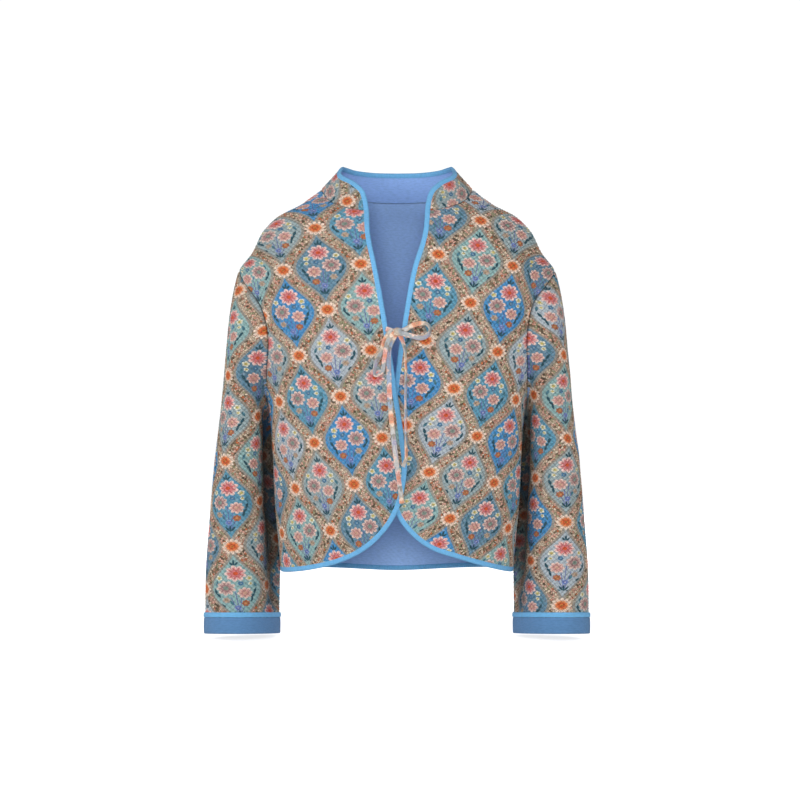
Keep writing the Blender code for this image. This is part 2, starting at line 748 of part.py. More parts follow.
def cuff_section():
    """Turned-back band with its fold under the end of the sleeve."""
    ledge = SLEEVE[-1][2] - SEAM_GAP
    return (
        (SEAM_GAP, CUFF_TOP),
        (CUFF_PROUD, CUFF_TOP),
        (CUFF_PROUD, CUFF_BOTTOM + CUFF_ROUNDING),
        (CUFF_PROUD - CUFF_ROUNDING, CUFF_BOTTOM),
        (CUFF_ROUNDING - WALL, CUFF_BOTTOM),
        (-WALL, CUFF_BOTTOM + CUFF_ROUNDING),
        (-WALL, ledge),
        (SEAM_GAP, ledge),
    )


def cuff_binding_section():
    """Rounded band over the upper edge of the cuff."""
    low = CUFF_TOP + SEAM_GAP
    high = CUFF_BINDING_TOP
    return (
        (SEAM_GAP, low),
        (CUFF_PROUD, low),
        (CUFF_BINDING_PROUD, low + CUFF_ROUNDING),
        (CUFF_BINDING_PROUD, high - CUFF_ROUNDING),
        (CUFF_BINDING_PROUD - CUFF_ROUNDING, high),
        (SEAM_GAP, high),
    )


def neck_seam():
    """Points and normals of the neck seam, from the left front end round the back."""
    front_angles, front_heights = front_neck_edge()
    back_angles, back_heights = back_neck_edge()
    angles = np.concatenate((front_angles[:0:-1], [0.0], back_angles[1:]))
    heights = np.concatenate((front_heights[:0:-1], [0.0], back_heights[1:]))
    return torso_point(angles, heights), torso_normal(angles, heights)


def mirrored_half(half):
    """A row of the left half, followed by its mirror image from the middle back to the right."""
    return np.concatenate((half, (half[:-1] * np.array([-1, 1, 1]))[::-1]))


def collar_grid():
    """Outer points and normals of the collar: rows from the seam up, columns round the neck."""
    low, seam_normals = neck_seam()
    shares = walked_lengths(low)
    shares = shares / shares[-1]
    edge = column_curves(COLLAR_COLUMNS, COLLAR_EDGE)
    high = mirrored_half(np.stack([edge[name](shares) for name in COLLAR_COLUMNS[1:]], axis=1))
    low = mirrored_half(low)
    lift = 2 * SEAM_GAP / np.linalg.norm(high - low, axis=1, keepdims=True)
    low = low + lift * (high - low)
    grid = np.stack([low + (high - low) * share for share in np.linspace(0, 1, COLLAR_ROWS + 1)])
    normals = unit(np.cross(np.gradient(grid, axis=1), np.gradient(grid, axis=0)))
    normals[0] = mirrored_half(seam_normals)
    return grid, normals


def grid_faces(rows, columns):
    faces = []
    for i in range(rows - 1):
        for j in range(columns - 1):
            a = i * columns + j
            faces.append((a, a + 1, a + columns + 1, a + columns))
    return faces


def make_collar():
    grid, normals = collar_grid()
    outer = grid.reshape(-1, 3)
    inner = (grid - WALL * normals).reshape(-1, 3)
    faces = grid_faces(*grid.shape[:2])
    make_object("collar", *thick_shell(outer, inner, faces), PRINT_COLOUR)


def make_collar_binding():
    grid, normals = collar_grid()
    edge = np.concatenate((grid[:-1, 0], grid[-1], grid[:-1, -1][::-1]))
    edge_normals = np.concatenate((normals[:-1, 0], normals[-1], normals[:-1, -1][::-1]))
    make_binding("binding_collar", edge, edge_normals, -1)


def front_face(across, height, standoff):
    """A point at a distance in front of the upper front."""
    depth = SECTION["front_depth"](height)
    depth = depth + CROSSING_LIFT * smooth_step(-height, -CROSSING_TOP[0], -CROSSING_TOP[1])
    return np.stack([across, -depth - standoff, height], axis=-1)


def make_tie(name, route):
    """A flat strip along a route seen from the front."""
    path = even_points(route, TIE_STEP)
    middles = front_face(path[:, 0], path[:, 1], path[:, 2])
    along = unit(np.gradient(middles, axis=0))
    facing = np.array([0.0, -1.0, 0.0])
    across = unit(np.cross(along, facing))
    normal = np.cross(across, along)
    turn = np.radians(path[:, 3])[:, None]
    width = np.cos(turn) * across + np.sin(turn) * normal
    normal = np.cross(width, along)
    section = [(out * TIE_WIDTH / 2, off * TIE_THICKNESS / 2) for out, off in TIE_SHAPE]
    points, faces = sweep(middles, width, normal, section)
    make_object(name, points, faces, TIE_COLOUR)


def make_knot():
    """A squarish lump, rounder than a box."""
    centre = front_face(np.array(KNOT_CENTRE[0]), np.array(KNOT_CENTRE[1]), np.array(KNOT_STANDOFF))
    points = [centre + (0, 0, KNOT_HALF_SIZE[2])]
    for i in range(1, KNOT_RINGS):
        rise = math.pi / 2 - math.pi * i / KNOT_RINGS
        for j in range(KNOT_SIDES):
            turn = 2 * math.pi * j / KNOT_SIDES
            round_point = (
                math.cos(rise) * math.cos(turn),
                math.cos(rise) * math.sin(turn),
                math.sin(rise),
            )
            square = [math.copysign(abs(value) ** KNOT_SQUARENESS, value) for value in round_point]
            points.append(centre + np.array(square) * KNOT_HALF_SIZE)
    points.append(centre - (0, 0, KNOT_HALF_SIZE[2]))
    last = len(points) - 1
    faces = []
    for j in range(KNOT_SIDES):
        k = (j + 1) % KNOT_SIDES
        faces.append((0, 1 + j, 1 + k))
        for i in range(KNOT_RINGS - 2):
            a = 1 + i * KNOT_SIDES
            b = a + KNOT_SIDES
            faces.append((a + j, b + j, b + k, a + k))
        end = 1 + (KNOT_RINGS - 2) * KNOT_SIDES
        faces.append((last, end + k, end + j))
    make_object("tie_knot", points, faces, TIE_COLOUR)


def build():
    clear_scene()
    make_panel("back", back_outline(), 0, BACK_STEP)
    make_back_binding()
    for name, side, layer in (("left", 1, -1), ("right", -1, 1)):
        make_front("front_" + name, side, layer)
        make_front_binding("binding_" + name, side, layer)
        make_sleeve("sleeve_" + name, side)
        make_cuff_ring("cuff_" + name, side, cuff_section(), LINING_COLOUR)
        make_cuff_ring("cuff_binding_" + name, side, cuff_binding_section(), BINDING_COLOUR)
    make_collar()
    make_collar_binding()
    make_knot()
    make_tie("tie_lead_left", TIE_LEAD_LEFT)
    make_tie("tie_lead_right", TIE_LEAD_RIGHT)
    make_tie("tie_loop_left", TIE_LOOP_LEFT)
    make_tie("tie_loop_right", TIE_LOOP_RIGHT)
    make_tie("tie_tail_left", TIE_TAIL_LEFT)
    make_tie("tie_tail_right", TIE_TAIL_RIGHT)


build()
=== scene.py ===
"""Quilted tie-front cardigan jacket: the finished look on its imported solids.

Metres, +Z up, the front towards -Y, the wearer's left at +X.
"""

import json
import math

import bpy
import numpy as np
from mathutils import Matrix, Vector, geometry, kdtree

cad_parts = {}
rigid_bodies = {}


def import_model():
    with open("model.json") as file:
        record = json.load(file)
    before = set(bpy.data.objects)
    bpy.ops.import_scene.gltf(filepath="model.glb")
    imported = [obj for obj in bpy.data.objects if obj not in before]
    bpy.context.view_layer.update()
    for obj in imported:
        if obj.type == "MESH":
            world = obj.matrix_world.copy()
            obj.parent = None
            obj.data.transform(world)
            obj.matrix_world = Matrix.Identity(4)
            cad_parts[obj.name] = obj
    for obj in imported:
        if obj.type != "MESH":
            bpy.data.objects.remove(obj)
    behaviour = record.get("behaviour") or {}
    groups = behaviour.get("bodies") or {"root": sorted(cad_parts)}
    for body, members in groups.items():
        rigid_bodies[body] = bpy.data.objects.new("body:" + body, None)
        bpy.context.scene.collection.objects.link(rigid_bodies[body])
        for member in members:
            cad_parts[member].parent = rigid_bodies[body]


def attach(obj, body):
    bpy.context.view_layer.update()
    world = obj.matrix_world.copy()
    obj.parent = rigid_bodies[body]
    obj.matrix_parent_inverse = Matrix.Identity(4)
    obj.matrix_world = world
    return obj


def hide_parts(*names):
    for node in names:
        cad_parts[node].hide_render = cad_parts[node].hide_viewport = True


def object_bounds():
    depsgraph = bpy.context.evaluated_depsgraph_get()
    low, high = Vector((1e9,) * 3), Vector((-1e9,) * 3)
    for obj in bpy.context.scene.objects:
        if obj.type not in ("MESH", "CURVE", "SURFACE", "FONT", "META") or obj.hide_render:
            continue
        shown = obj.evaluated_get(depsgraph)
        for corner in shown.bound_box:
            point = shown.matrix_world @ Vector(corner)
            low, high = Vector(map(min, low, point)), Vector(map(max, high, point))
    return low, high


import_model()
CAD_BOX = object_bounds()


def srgb(red, green, blue):
    """Linear colour of a screen colour."""
    shares = (red / 255, green / 255, blue / 255)
    return tuple(s / 12.92 if s <= 0.04045 else ((s + 0.055) / 1.055) ** 2.4 for s in shares) + (1.0,)


# Camera of the photograph
CAMERA_PLACE = (0.0045, -3.0, -0.315)
CAMERA_LENS = 90
CAMERA_SENSOR = 36

# Cloth and trim sizes
WALL = 0.003
BINDING_WIDTH = 0.0065
BINDING_HALF_THICKNESS = 0.0024
BINDING_LAP = 0.0008
TIE_WIDTH = 0.0073
TIE_THICKNESS = 0.0024

# Sections of the trims, going round: shares of the width, and of the half thickness
BINDING_SHAPE = (
    (0.0, -0.80), (0.12, -0.97), (0.35, -1.00), (0.60, -0.94), (0.80, -0.78), (0.94, -0.48), (1.0, 0.0),
    (0.94, 0.48), (0.80, 0.78), (0.60, 0.94), (0.35, 1.00), (0.12, 0.97), (0.0, 0.80),
)
TIE_SHAPE = (
    (-1, 0), (-0.94, -0.62), (-0.78, -0.97), (-0.4, -0.90), (0, -0.82), (0.4, -0.90), (0.78, -0.97),
    (0.94, -0.62), (1, 0), (0.94, 0.62), (0.78, 0.97), (0.4, 0.90), (0, 0.82), (-0.4, 0.90),
    (-0.78, 0.97), (-0.94, 0.62),
)

# Mesh steps
CLOTH_STEP = 0.0020
LINING_STEP = 0.009
EDGE_STEP = 0.003
FINE_EDGE_STEP = 0.00075
SLEEVE_SIDES = 180
SLEEVE_ROW = 0.0021
SLEEVE_LEVELS = 300
LINING_ROWS = 6
COLLAR_ROW = 0.0021
BACK_NECK_POINTS = 90
BACK_HEM_POINTS = 90
CURVE_POINTS = 1200
ARC_STEPS = 60
ARC_TABLE = 400
EDGE_CLEARANCE = 0.6
WELD = 1e-7
PROBE = 0.0002
SHARP_ANGLE = 50

# Main heights below the high shoulder points
SHOULDER_TIP = -0.121
FLAT_TOP = -0.130
UNDERARM = -0.310
SIDE_HEM = -0.570
BACK_HEM_DROP = 0.009
BACK_NECK_DROP = 0.012
ARMHOLE_FRONT_DEPTH = 0.062
ARMHOLE_BACK_DEPTH = 0.062

# Level sections of the body: half width at the sides, depth to front and back, and how square
TORSO_COLUMNS = ("height", "half_width", "front_depth", "back_depth", "squareness")
TORSO = (
    (-0.590, 0.1720, 0.103, 0.105, 2.8),
    (-0.525, 0.1770, 0.105, 0.108, 2.8),
    (-0.470, 0.1820, 0.108, 0.112, 2.8),
    (-0.400, 0.1860, 0.111, 0.115, 2.7),
    (-0.350, 0.1890, 0.114, 0.117, 2.6),
    (-0.310, 0.1945, 0.116, 0.118, 2.5),
    (-0.250, 0.2110, 0.117, 0.119, 2.3),
    (-0.180, 0.2270, 0.115, 0.118, 2.2),
    (-0.121, 0.2360, 0.108, 0.114, 2.1),
    (-0.097, 0.2180, 0.102, 0.109, 2.0),
    (-0.060, 0.1980, 0.091, 0.100, 2.0),
    (-0.039, 0.1750, 0.079, 0.092, 2.0),
    (-0.024, 0.1460, 0.062, 0.083, 2.0),
    (-0.012, 0.1290, 0.046, 0.076, 2.0),
    (0.000, 0.1140, 0.030, 0.066, 2.0),
)

# Front neck seam from the high shoulder point, seen from the front: across, height
FRONT_NECK = (
    (0.1140, 0.0000),
    (0.1010, -0.0186),
    (0.0820, -0.0284),
    (0.0478, -0.0372),
)

# Bound edge of each front from the neck to the side hem, seen from the front: across to its own side, height
FRONT_EDGE_RIGHT = (
    (0.0408, -0.037),
    (0.0390, -0.072),
    (0.0290, -0.122),
    (0.0130, -0.211),
    (0.0009, -0.293),
    (-0.0105, -0.373),
    (-0.0144, -0.413),
    (-0.0116, -0.439),
    (-0.0043, -0.469),
    (0.0135, -0.502),
    (0.0457, -0.533),
    (0.0819, -0.551),
    (0.1240, -0.562),
    (0.1720, SIDE_HEM),
)
FRONT_EDGE_LEFT = (
    (0.0415, -0.037),
    (0.0378, -0.072),
    (0.0230, -0.122),
    (0.0072, -0.211),
    (-0.0040, -0.293),
    (-0.0110, -0.362),
    (-0.0125, -0.412),
    (-0.0095, -0.450),
    (-0.0006, -0.482),
    (0.0174, -0.507),
    (0.0499, -0.532),
    (0.0860, -0.545),
    (0.1290, -0.558),
    (0.1720, SIDE_HEM),
)

# Where the fronts cross, the right one lies over the left one
CROSSING_LIFT = 0.0030
CROSSING_REACH = (0.020, 0.085)
CROSSING_TOP = (-0.190, -0.275)

# Height of a soft fold at its ends, as a share of its height in the middle
FOLD_END_SHARE = 0.35

# Radius on which the folds of the body are laid out
MEAN_RADIUS = 0.150

# Soft folds of the body: degrees round the body and height of both ends, then width and rise
TORSO_FOLDS = (
    (11, -0.075, 19, -0.215, 0.015, -0.0060),
    (40, -0.330, 62, -0.200, 0.022, 0.0035),
    (16, -0.380, 40, -0.480, 0.028, -0.0035),
    (60, -0.360, 50, -0.520, 0.030, 0.0030),
    (163, -0.140, 160, -0.250, 0.015, -0.0040),
    (142, -0.330, 120, -0.200, 0.022, 0.0035),
    (166, -0.390, 144, -0.500, 0.028, -0.0035),
    (122, -0.350, 132, -0.530, 0.030, 0.0030),
    (-28, -0.320, -60, -0.190, 0.026, 0.0050),
    (-152, -0.320, -122, -0.200, 0.026, 0.0050),
    (-40, -0.400, -52, -0.560, 0.030, 0.0045),
    (-90, -0.330, -94, -0.560, 0.034, -0.0045),
    (-138, -0.410, -128, -0.560, 0.030, 0.0045),
)

# Sleeve stations from the armhole to the cuff fold: outer and inner edge, depth each way,
# and how far the inner edge lies back behind the side of the body
SLEEVE_COLUMNS = (
    "station", "outer_x", "outer_z", "inner_x", "inner_z", "half_depth", "middle_y", "inner_back",
)
SLEEVE = (
    (0, 0.2370, -0.122, 0.1955, -0.3105, 0.0660, -0.003, 0.000),
    (1, 0.2450, -0.150, 0.1955, -0.3200, 0.0700, -0.003, 0.010),
    (2, 0.2500, -0.185, 0.1932, -0.3300, 0.0710, -0.002, 0.026),
    (3, 0.2560, -0.250, 0.1888, -0.3450, 0.0700, -0.001, 0.041),
    (4, 0.2630, -0.325, 0.1855, -0.3700, 0.0690, 0.000, 0.052),
    (5, 0.2730, -0.411, 0.1815, -0.4250, 0.0660, -0.002, 0.060),
    (6, 0.2790, -0.482, 0.1775, -0.4860, 0.0590, -0.005, 0.056),
    (7, 0.2850, -0.565, 0.1740, -0.5650, 0.0520, -0.008, 0.042),
    (8, 0.2860, -0.631, 0.1735, -0.6310, 0.0465, -0.010, 0.042),
    (9, 0.2860, -0.6565, 0.1735, -0.6565, 0.0460, -0.010, 0.042),
)
SLEEVE_BLEND_STATIONS = 2.5
SLEEVE_UNDERARM_STANDOFF = 0.0024
SLEEVE_BACK_HOOK = 3
SLEEVE_STANDOFF_STATIONS = 0.5
SLEEVE_FOLD_RADIUS = 0.055
SLEEVE_STATION_LENGTH = 0.070

# Soft folds of the sleeves: side, degrees round the sleeve and station of both ends, then width and rise
SLEEVE_FOLDS = (
    (1, 100, 1.2, 30, 3.4, 0.016, 0.0045),
    (1, 120, 4.2, 20, 4.8, 0.014, 0.0035),
    (1, 60, 5.6, 130, 6.3, 0.013, -0.0030),
    (1, 230, 4.0, 320, 5.2, 0.015, 0.0040),
    (1, 250, 6.0, 330, 6.6, 0.013, 0.0030),
    (-1, 105, 1.4, 40, 3.2, 0.016, 0.0045),
    (-1, 130, 3.9, 30, 4.9, 0.014, 0.0035),
    (-1, 70, 5.3, 140, 5.9, 0.013, -0.0030),
    (-1, 225, 4.3, 315, 5.0, 0.015, 0.0040),
    (-1, 240, 6.2, 335, 6.9, 0.013, 0.0030),
    (1, 154, 2.8, 154, 7.8, 0.017, -0.0165),
    (-1, 150, 2.8, 150, 7.8, 0.018, -0.0165),
    (1, 180, 6.5, 180, 11.5, 0.035, -0.0045),
    (-1, 180, 6.5, 180, 11.5, 0.035, -0.0060),
)

# Cloth edge of the collar from the front end to the middle of the back
COLLAR_COLUMNS = ("share", "across", "depth", "height")
COLLAR_EDGE = (
    (0.00, 0.0495, -0.0685, -0.0235),
    (0.06, 0.0540, -0.0625, -0.0105),
    (0.14, 0.0665, -0.0500, 0.0025),
    (0.25, 0.0835, -0.0330, 0.0125),
    (0.36, 0.0890, -0.0150, 0.0215),
    (0.45, 0.0865, 0.0040, 0.0305),
    (0.55, 0.0815, 0.0230, 0.0315),
    (0.70, 0.0650, 0.0470, 0.0285),
    (0.85, 0.0360, 0.0640, 0.0265),
    (1.00, 0.0000, 0.0700, 0.0262),
)

# Turned-back cuff and the binding of its upper edge: heights and distances off the sleeve
CUFF_TOP = -0.6400
CUFF_BOTTOM = -0.6642
CUFF_PROUD = 0.0028
CUFF_STANDOFF = 0.0003
CUFF_ROUNDING = 0.0012
CUFF_BINDING_TOP = -0.6322
CUFF_BINDING_PROUD = 0.0030
CORNER_SHARE = 0.25
CORNER_ROUNDS = 2

# Drop of a cuff and of the last stations of its sleeve towards the back, as a share of the depth
CUFF_LEAN = 0.10
CUFF_LEAN_STATIONS = 2
CUFF_MIDDLE = SLEEVE[-1][6]

# Knot of the bow
KNOT_CENTRE = (0.0008, -0.2172)
KNOT_HALF_SIZE = (0.0068, 0.0066, 0.0064)
KNOT_STANDOFF = 0.0082
KNOT_SQUARENESS = 0.75
KNOT_RINGS = 28
KNOT_SIDES = 48
KNOT_WRAPS = 2.0
KNOT_GROOVE = 0.09
KNOT_WIND = (0.8, 1.6)

# Tie routes seen from the front: across, height, distance in front of the cloth, and turn from facing
TIE_RIGHT = (
    (-0.0160, -0.2125, 0.0022, 0),
    (-0.0110, -0.2140, 0.0032, 0),
    (-0.0059, -0.2155, 0.0048, 0),
    (-0.0005, -0.2165, 0.0064, 0),
    (-0.0084, -0.2165, 0.0080, 0),
    (-0.0160, -0.2260, 0.0095, 25),
    (-0.0225, -0.2460, 0.0105, 35),
    (-0.0315, -0.2670, 0.0100, 45),
    (-0.0310, -0.2800, 0.0105, 60),
    (-0.0225, -0.2760, 0.0115, 45),
    (-0.0180, -0.2560, 0.0125, 35),
    (-0.0145, -0.2370, 0.0125, 25),
    (-0.0090, -0.2235, 0.0112, 0),
    (-0.0008, -0.2185, 0.0095, 0),
    (-0.0030, -0.2229, 0.0082, 0),
    (-0.0105, -0.2390, 0.0080, 0),
    (-0.0118, -0.2640, 0.0072, 5),
    (-0.0110, -0.2950, 0.0070, 8),
    (-0.0090, -0.3300, 0.0070, 5),
    (-0.0060, -0.3600, 0.0070, 0),
    (-0.0015, -0.3980, 0.0070, 10),
    (0.0025, -0.4290, 0.0070, 35),
    (0.0060, -0.4530, 0.0070, 20),
    (0.0072, -0.4640, 0.0070, 10),
)
TIE_LEFT = (
    (0.0150, -0.2125, 0.0005, 0),
    (0.0110, -0.2140, 0.0022, 0),
    (0.0074, -0.2155, 0.0046, 0),
    (0.0022, -0.2160, 0.0062, 0),
    (0.0079, -0.2158, 0.0076, 0),
    (0.0200, -0.2092, 0.0105, 20),
    (0.0325, -0.2050, 0.0120, 30),
    (0.0430, -0.2060, 0.0130, 50),
    (0.0478, -0.2130, 0.0130, 70),
    (0.0440, -0.2225, 0.0122, 50),
    (0.0345, -0.2260, 0.0115, 25),
    (0.0220, -0.2232, 0.0112, 12),
    (0.0070, -0.2194, 0.0106, 0),
    (0.0020, -0.2188, 0.0094, 15),
    (0.0046, -0.2229, 0.0082, 30),
    (0.0105, -0.2380, 0.0082, 60),
    (0.0125, -0.2630, 0.0080, 70),
    (0.0127, -0.2950, 0.0080, 70),
    (0.0124, -0.3350, 0.0080, 70),
    (0.0130, -0.3770, 0.0080, 70),
    (0.0118, -0.4040, 0.0082, 55),
    (0.0085, -0.4110, 0.0088, 40),
)
TIE_STEP = 0.002

# Quilting: rows crossed on the slant, and how the cloth sinks at a seam and a bound edge
QUILT_ACROSS = 0.0075
QUILT_UP = 0.0075
QUILT_RISE = 0.0018
QUILT_FULLNESS = 0.8
QUILT_MEAN = 0.45
SEAM_SINK = 0.0015
SEAM_REACH = 0.0036
SEAM_NOTCH = 0.0008
EDGE_REACH = 0.0045

# Painted shade along a seam: where it starts between the next points and the sewn ones, and its depth
PRINT_SEAM_PAINTED_SHADE = (0.35, 0.75)
LINING_SEAM_PAINTED_SHADE = (0.75, 0.35)

# Painted shade in the sleeve folds that sink below a limit: their bottom, its spread, where it starts and its
# depth
HOLLOW_RISE = -0.0100
HOLLOW_BOTTOM = -0.0165
HOLLOW_SPREAD = 0.4
PAINTED_CREASE_SHADE = (0.10, 0.78)

# Trellis of the print: half steps of the repeat, pointed ovals and the flowers where they meet
TRELLIS_ACROSS = 0.0543
TRELLIS_UP = 0.0630
OVAL_HALF_WIDTH = 0.0350
OVAL_HALF_HEIGHT = 0.0510
OVAL_POINTEDNESS = 0.70
OVAL_BORDER = 0.0044
PRINT_BLUR = 0.0009
BAND_CELLS = 320.0
FLOWER_SQUAT = 0.80
STEM_HALF_WIDTH = 0.0006

# How the print lies on each panel in flat metres: origin, steps across and down, bend, shear, first repeat
PRINT_ON_FRONT = {
    -1: (
        (-0.0912, -0.2468), (0.0543, 0.0039), (0.0100, -0.0629),
        (0.00006, -0.00014), (-0.00211, -0.00007), (0, 0),
    ),
    1: (
        (0.0957, -0.2368), (0.0543, -0.0080), (-0.0128, -0.0622),
        (-0.00113, 0.00046), (-0.00118, -0.00009), (-2, 0),
    ),
}
PRINT_ON_BACK = ((0.0, -0.2468), (0.0543, 0.0), (0.0, -0.0630), (0.0, 0.0), (0.0, 0.0), (0, 0))
PRINT_ON_SLEEVE = {
    -1: ((0.0546, -0.3419), (0.0611, 0.0027), (0.0054, -0.0629), (0.0, 0.0), (0.0, 0.0), (1, 1)),
    1: ((-0.0580, -0.3101), (0.0602, -0.0025), (-0.0020, -0.0615), (0.0, 0.0), (0.0, 0.0), (-2, -2)),
}
PRINT_ON_COLLAR = ((-0.2108, 0.0718), (0.0575, 0.0), (0.0, -0.0630), (0.0, 0.0), (0.0, 0.0), (0, 0))
PRINT_SOLVES = 6

# Floor and light: place, size and power of each lamp, all aimed at one point
FLOOR_DROP = 0.0125
FLOOR_HALF_SIZE = 30.0
FLOOR_COLOUR = (0.96, 0.96, 0.96, 1.0)
FLOOR_GLOW = 0.75
WHITE = (1.0, 1.0, 1.0, 1.0)
SKY_STRENGTH = 0.285
SKY_SEEN = 1.05
LAMP_AIM = (0.0, 0.0, -0.3)
LAMPS = {
    "soft_left": ((-2.5, -2.0, 0.6), 1.4, 43.5),
    "soft_right": ((2.3, -2.2, 0.6), 1.4, 24.5),
    "soft_front": ((-0.1, -3.2, 0.1), 1.0, 43.5),
    "soft_back": ((0.9, 3.0, 0.6), 1.8, 42.0),
}

# Stitches beside the bindings: sizes, distance in from the edge, and height as a share of the half thickness
STITCH_PITCH = 0.0032
STITCH_LENGTH = 0.0022
STITCH_RADIUS = 0.00026
STITCH_SIDES = 6
STITCH_RINGS = 4
STITCH_INSET = 0.0011
STITCH_HEIGHT = 0.98

# Jersey: slant and rows of its loops, cloud of the dye, and slubs drawn out along its rows
LOOP_SLANT = 0.9
LOOP_ROWS = 0.5
CLOUD_SCALE = 160.0
CLOUD_DETAIL = 5.0
CLOUD_DEPTH = 0.14
SLUB_DRAW = (0.30, 1.0, 1.0)
SLUB_SCALE = 520.0
SLUB_DETAIL = 3.0
SLUB_FROM = (0.32, 0.62)
SLUB_DEPTH = 0.11

# Plain jerseys and the binding: finish, material, colour and size of the loops
JERSEYS = (
    ("lining", "blue_jersey", srgb(166, 202, 252), 0.0011),
    # The lining of the collar is the lining jersey in a darker tone, painted shade for its inner face, which
    # sits in more light
    ("shaded_copy_collar_lining", "blue_jersey_collar_painted_shade", srgb(146, 182, 240), 0.0011),
    ("cuff", "blue_jersey_cuff", srgb(96, 141, 188), 0.0011),
    ("binding", "sky_blue_binding", srgb(118, 188, 238), 0.0008),
)
JERSEY_DARK = 0.86
# Painted shade between the knit loops: the loop heights over which it fades out, and its depth
JERSEY_LOOP_SHADE_FROM = (-0.4, 1.2)
JERSEY_LOOP_SHADE_DEPTH = 0.12
JERSEY_ROUGHNESS = 0.9
JERSEY_SHEEN = 0.10
JERSEY_RELIEF = (0.0003, 0.6)
LINING_GRAIN = 0.25

# Printed cloth, ties and thread; a relief is a distance and a strength
CLOTH_SPECULAR = 0.25
SHEEN_ROUGHNESS = 0.5
PRINT_LOOP = 0.0009
PRINT_ROUGHNESS = 0.88
PRINT_SHEEN = 0.06
PRINT_GRAIN = 0.08
PRINT_RELIEF = (0.0011, 1.0)
PUFF_FULLNESS = 0.5
# Painted shade in the grooves of the quilting: the puff heights over which it fades out, and its depth
GROOVE_SHADE_FROM = (0.0, 0.7)
GROOVE_SHADE_DEPTH = 0.40
TIE_LOOP = 0.0007
TIE_ROUGHNESS = 0.85
TIE_SLIDE = (-0.0045, 0.020, 0.0)
TIE_PALE = srgb(250, 226, 204)
TIE_PALENESS = 0.30
TIE_RELIEF = (0.0002, 0.6)
THREAD_TONES = (srgb(78, 146, 202), srgb(104, 170, 222))
THREAD_SCALE = 900.0
THREAD_DETAIL = 2.0
THREAD_ROUGHNESS = 0.7

# Outline of a flower: what the wave of its petals adds, and its least radius
PETAL_WAVE = (0.26, 0.76)

# How a flower is drawn: a pair is where an edge starts and ends, as shares of its radius or its petals' wave
PETAL_SIDE_WAVE = (0.80, 0.48)
PETAL_SIDE_FROM = (0.35, 0.60)
PETAL_TIP_FROM = (0.64, 0.86)
PETAL_GAP_WAVE = (0.34, 0.10)
PETAL_GAP_FROM = (0.28, 0.50)
PETAL_GAP_STRENGTH = 0.90
PETAL_RING_FROM = (0.36, 0.44)
PETAL_RING_TO = (0.58, 0.48)
PETAL_RING_STRENGTH = 0.55
HEART_EDGE = (1.15, 0.75)
FLOWER_EDGE = (1.06, 0.92)

# Edges of leaves and stems, lace between the specks of the bands, wash on the grounds and strokes over all
LEAF_EDGE = (-0.05, 0.2)
PALE_LEAF_EVERY = 4
STEM_EDGE = (1.2, 0.7)
STEM_END = (0.0, 0.0008)
LACE_EDGE = (0.20, 0.04)
LACE_STRENGTH = 0.70
WASH_SCALE = 220.0
WASH_DETAIL = 3.0
WASH_FROM = (0.45, 0.75)
WASH_STRENGTH = 0.22
STROKE_SCALE = 560.0
STROKE_DETAIL = 2.0
STROKE_FROM = (0.36, 0.60)
STROKE_DEPTH = 0.30

# Colours of the print
BAND_COLOURS = (
    (0.00, srgb(238, 216, 190)),
    (0.26, srgb(218, 188, 160)),
    (0.42, srgb(234, 182, 162)),
    (0.60, srgb(170, 168, 130)),
    (0.70, srgb(210, 148, 122)),
    (0.80, srgb(136, 116, 90)),
    (0.90, srgb(92, 78, 62)),
    (0.95, srgb(208, 114, 68)),
)
BAND_LINE = srgb(98, 78, 60)
BORDER_COLOUR = srgb(166, 160, 150)
WASH_COLOUR = srgb(236, 238, 238)
LEAF_COLOUR = srgb(26, 82, 98)
PALE_LEAF_COLOUR = srgb(72, 128, 146)
STEM_COLOUR = srgb(104, 116, 178)
MIDDLE_TONE = srgb(132, 126, 118)
PRINT_DULLNESS = 0.09

# Petals, petal edges, lines and heart of each flower
ROSETTE_PETALS = (srgb(246, 204, 174), srgb(255, 232, 214), srgb(220, 142, 104), srgb(240, 150, 100))
ROSETTE_MIDDLE = (srgb(236, 122, 60), srgb(244, 146, 88), srgb(200, 82, 40), srgb(212, 84, 36))
ROSETTE_DOT = (srgb(226, 150, 62), srgb(226, 150, 62), srgb(176, 92, 40), srgb(178, 84, 34))
PINK_FLOWER = (srgb(230, 134, 134), srgb(255, 218, 210), srgb(190, 74, 88), srgb(224, 88, 46))
ASTER = (srgb(192, 150, 148), srgb(244, 212, 200), srgb(140, 94, 100), srgb(136, 154, 142))
PALE_FLOWER = (srgb(224, 166, 156), srgb(250, 216, 204), srgb(184, 114, 114), srgb(222, 174, 150))
CREAM_FLOWER = (srgb(238, 232, 200), srgb(250, 246, 226), srgb(160, 150, 110), srgb(214, 196, 104))
BUD = (srgb(196, 116, 72), srgb(184, 110, 84), srgb(128, 76, 58), srgb(206, 136, 84))
GREY_BUD = (srgb(202, 184, 166), srgb(190, 172, 160), srgb(128, 110, 102), srgb(192, 162, 134))
BLUE_FLOWER = (srgb(84, 138, 176), srgb(70, 124, 166), srgb(44, 92, 130), srgb(150, 180, 196))
VIOLET_FLOWER = (srgb(106, 132, 200), srgb(142, 162, 216), srgb(66, 86, 156), srgb(172, 172, 206))

# Grounds of the ovals
GROUND_TONES = {
    "lilac": srgb(184, 197, 207),
    "bright": srgb(62, 150, 210),
    "aqua": srgb(90, 160, 190),
    "pale": srgb(160, 180, 184),
    "green": srgb(150, 190, 190),
    "steel": srgb(100, 145, 170),
}

# Their order in one repeat: six columns from left to right, each from the top down
GROUND_REPEAT = (
    ("lilac", "bright", "steel"),
    ("green", "pale", "aqua"),
    ("steel", "green", "pale"),
    ("aqua", "bright", "steel"),
    ("pale", "lilac", "green"),
    ("bright", "aqua", "pale"),
)

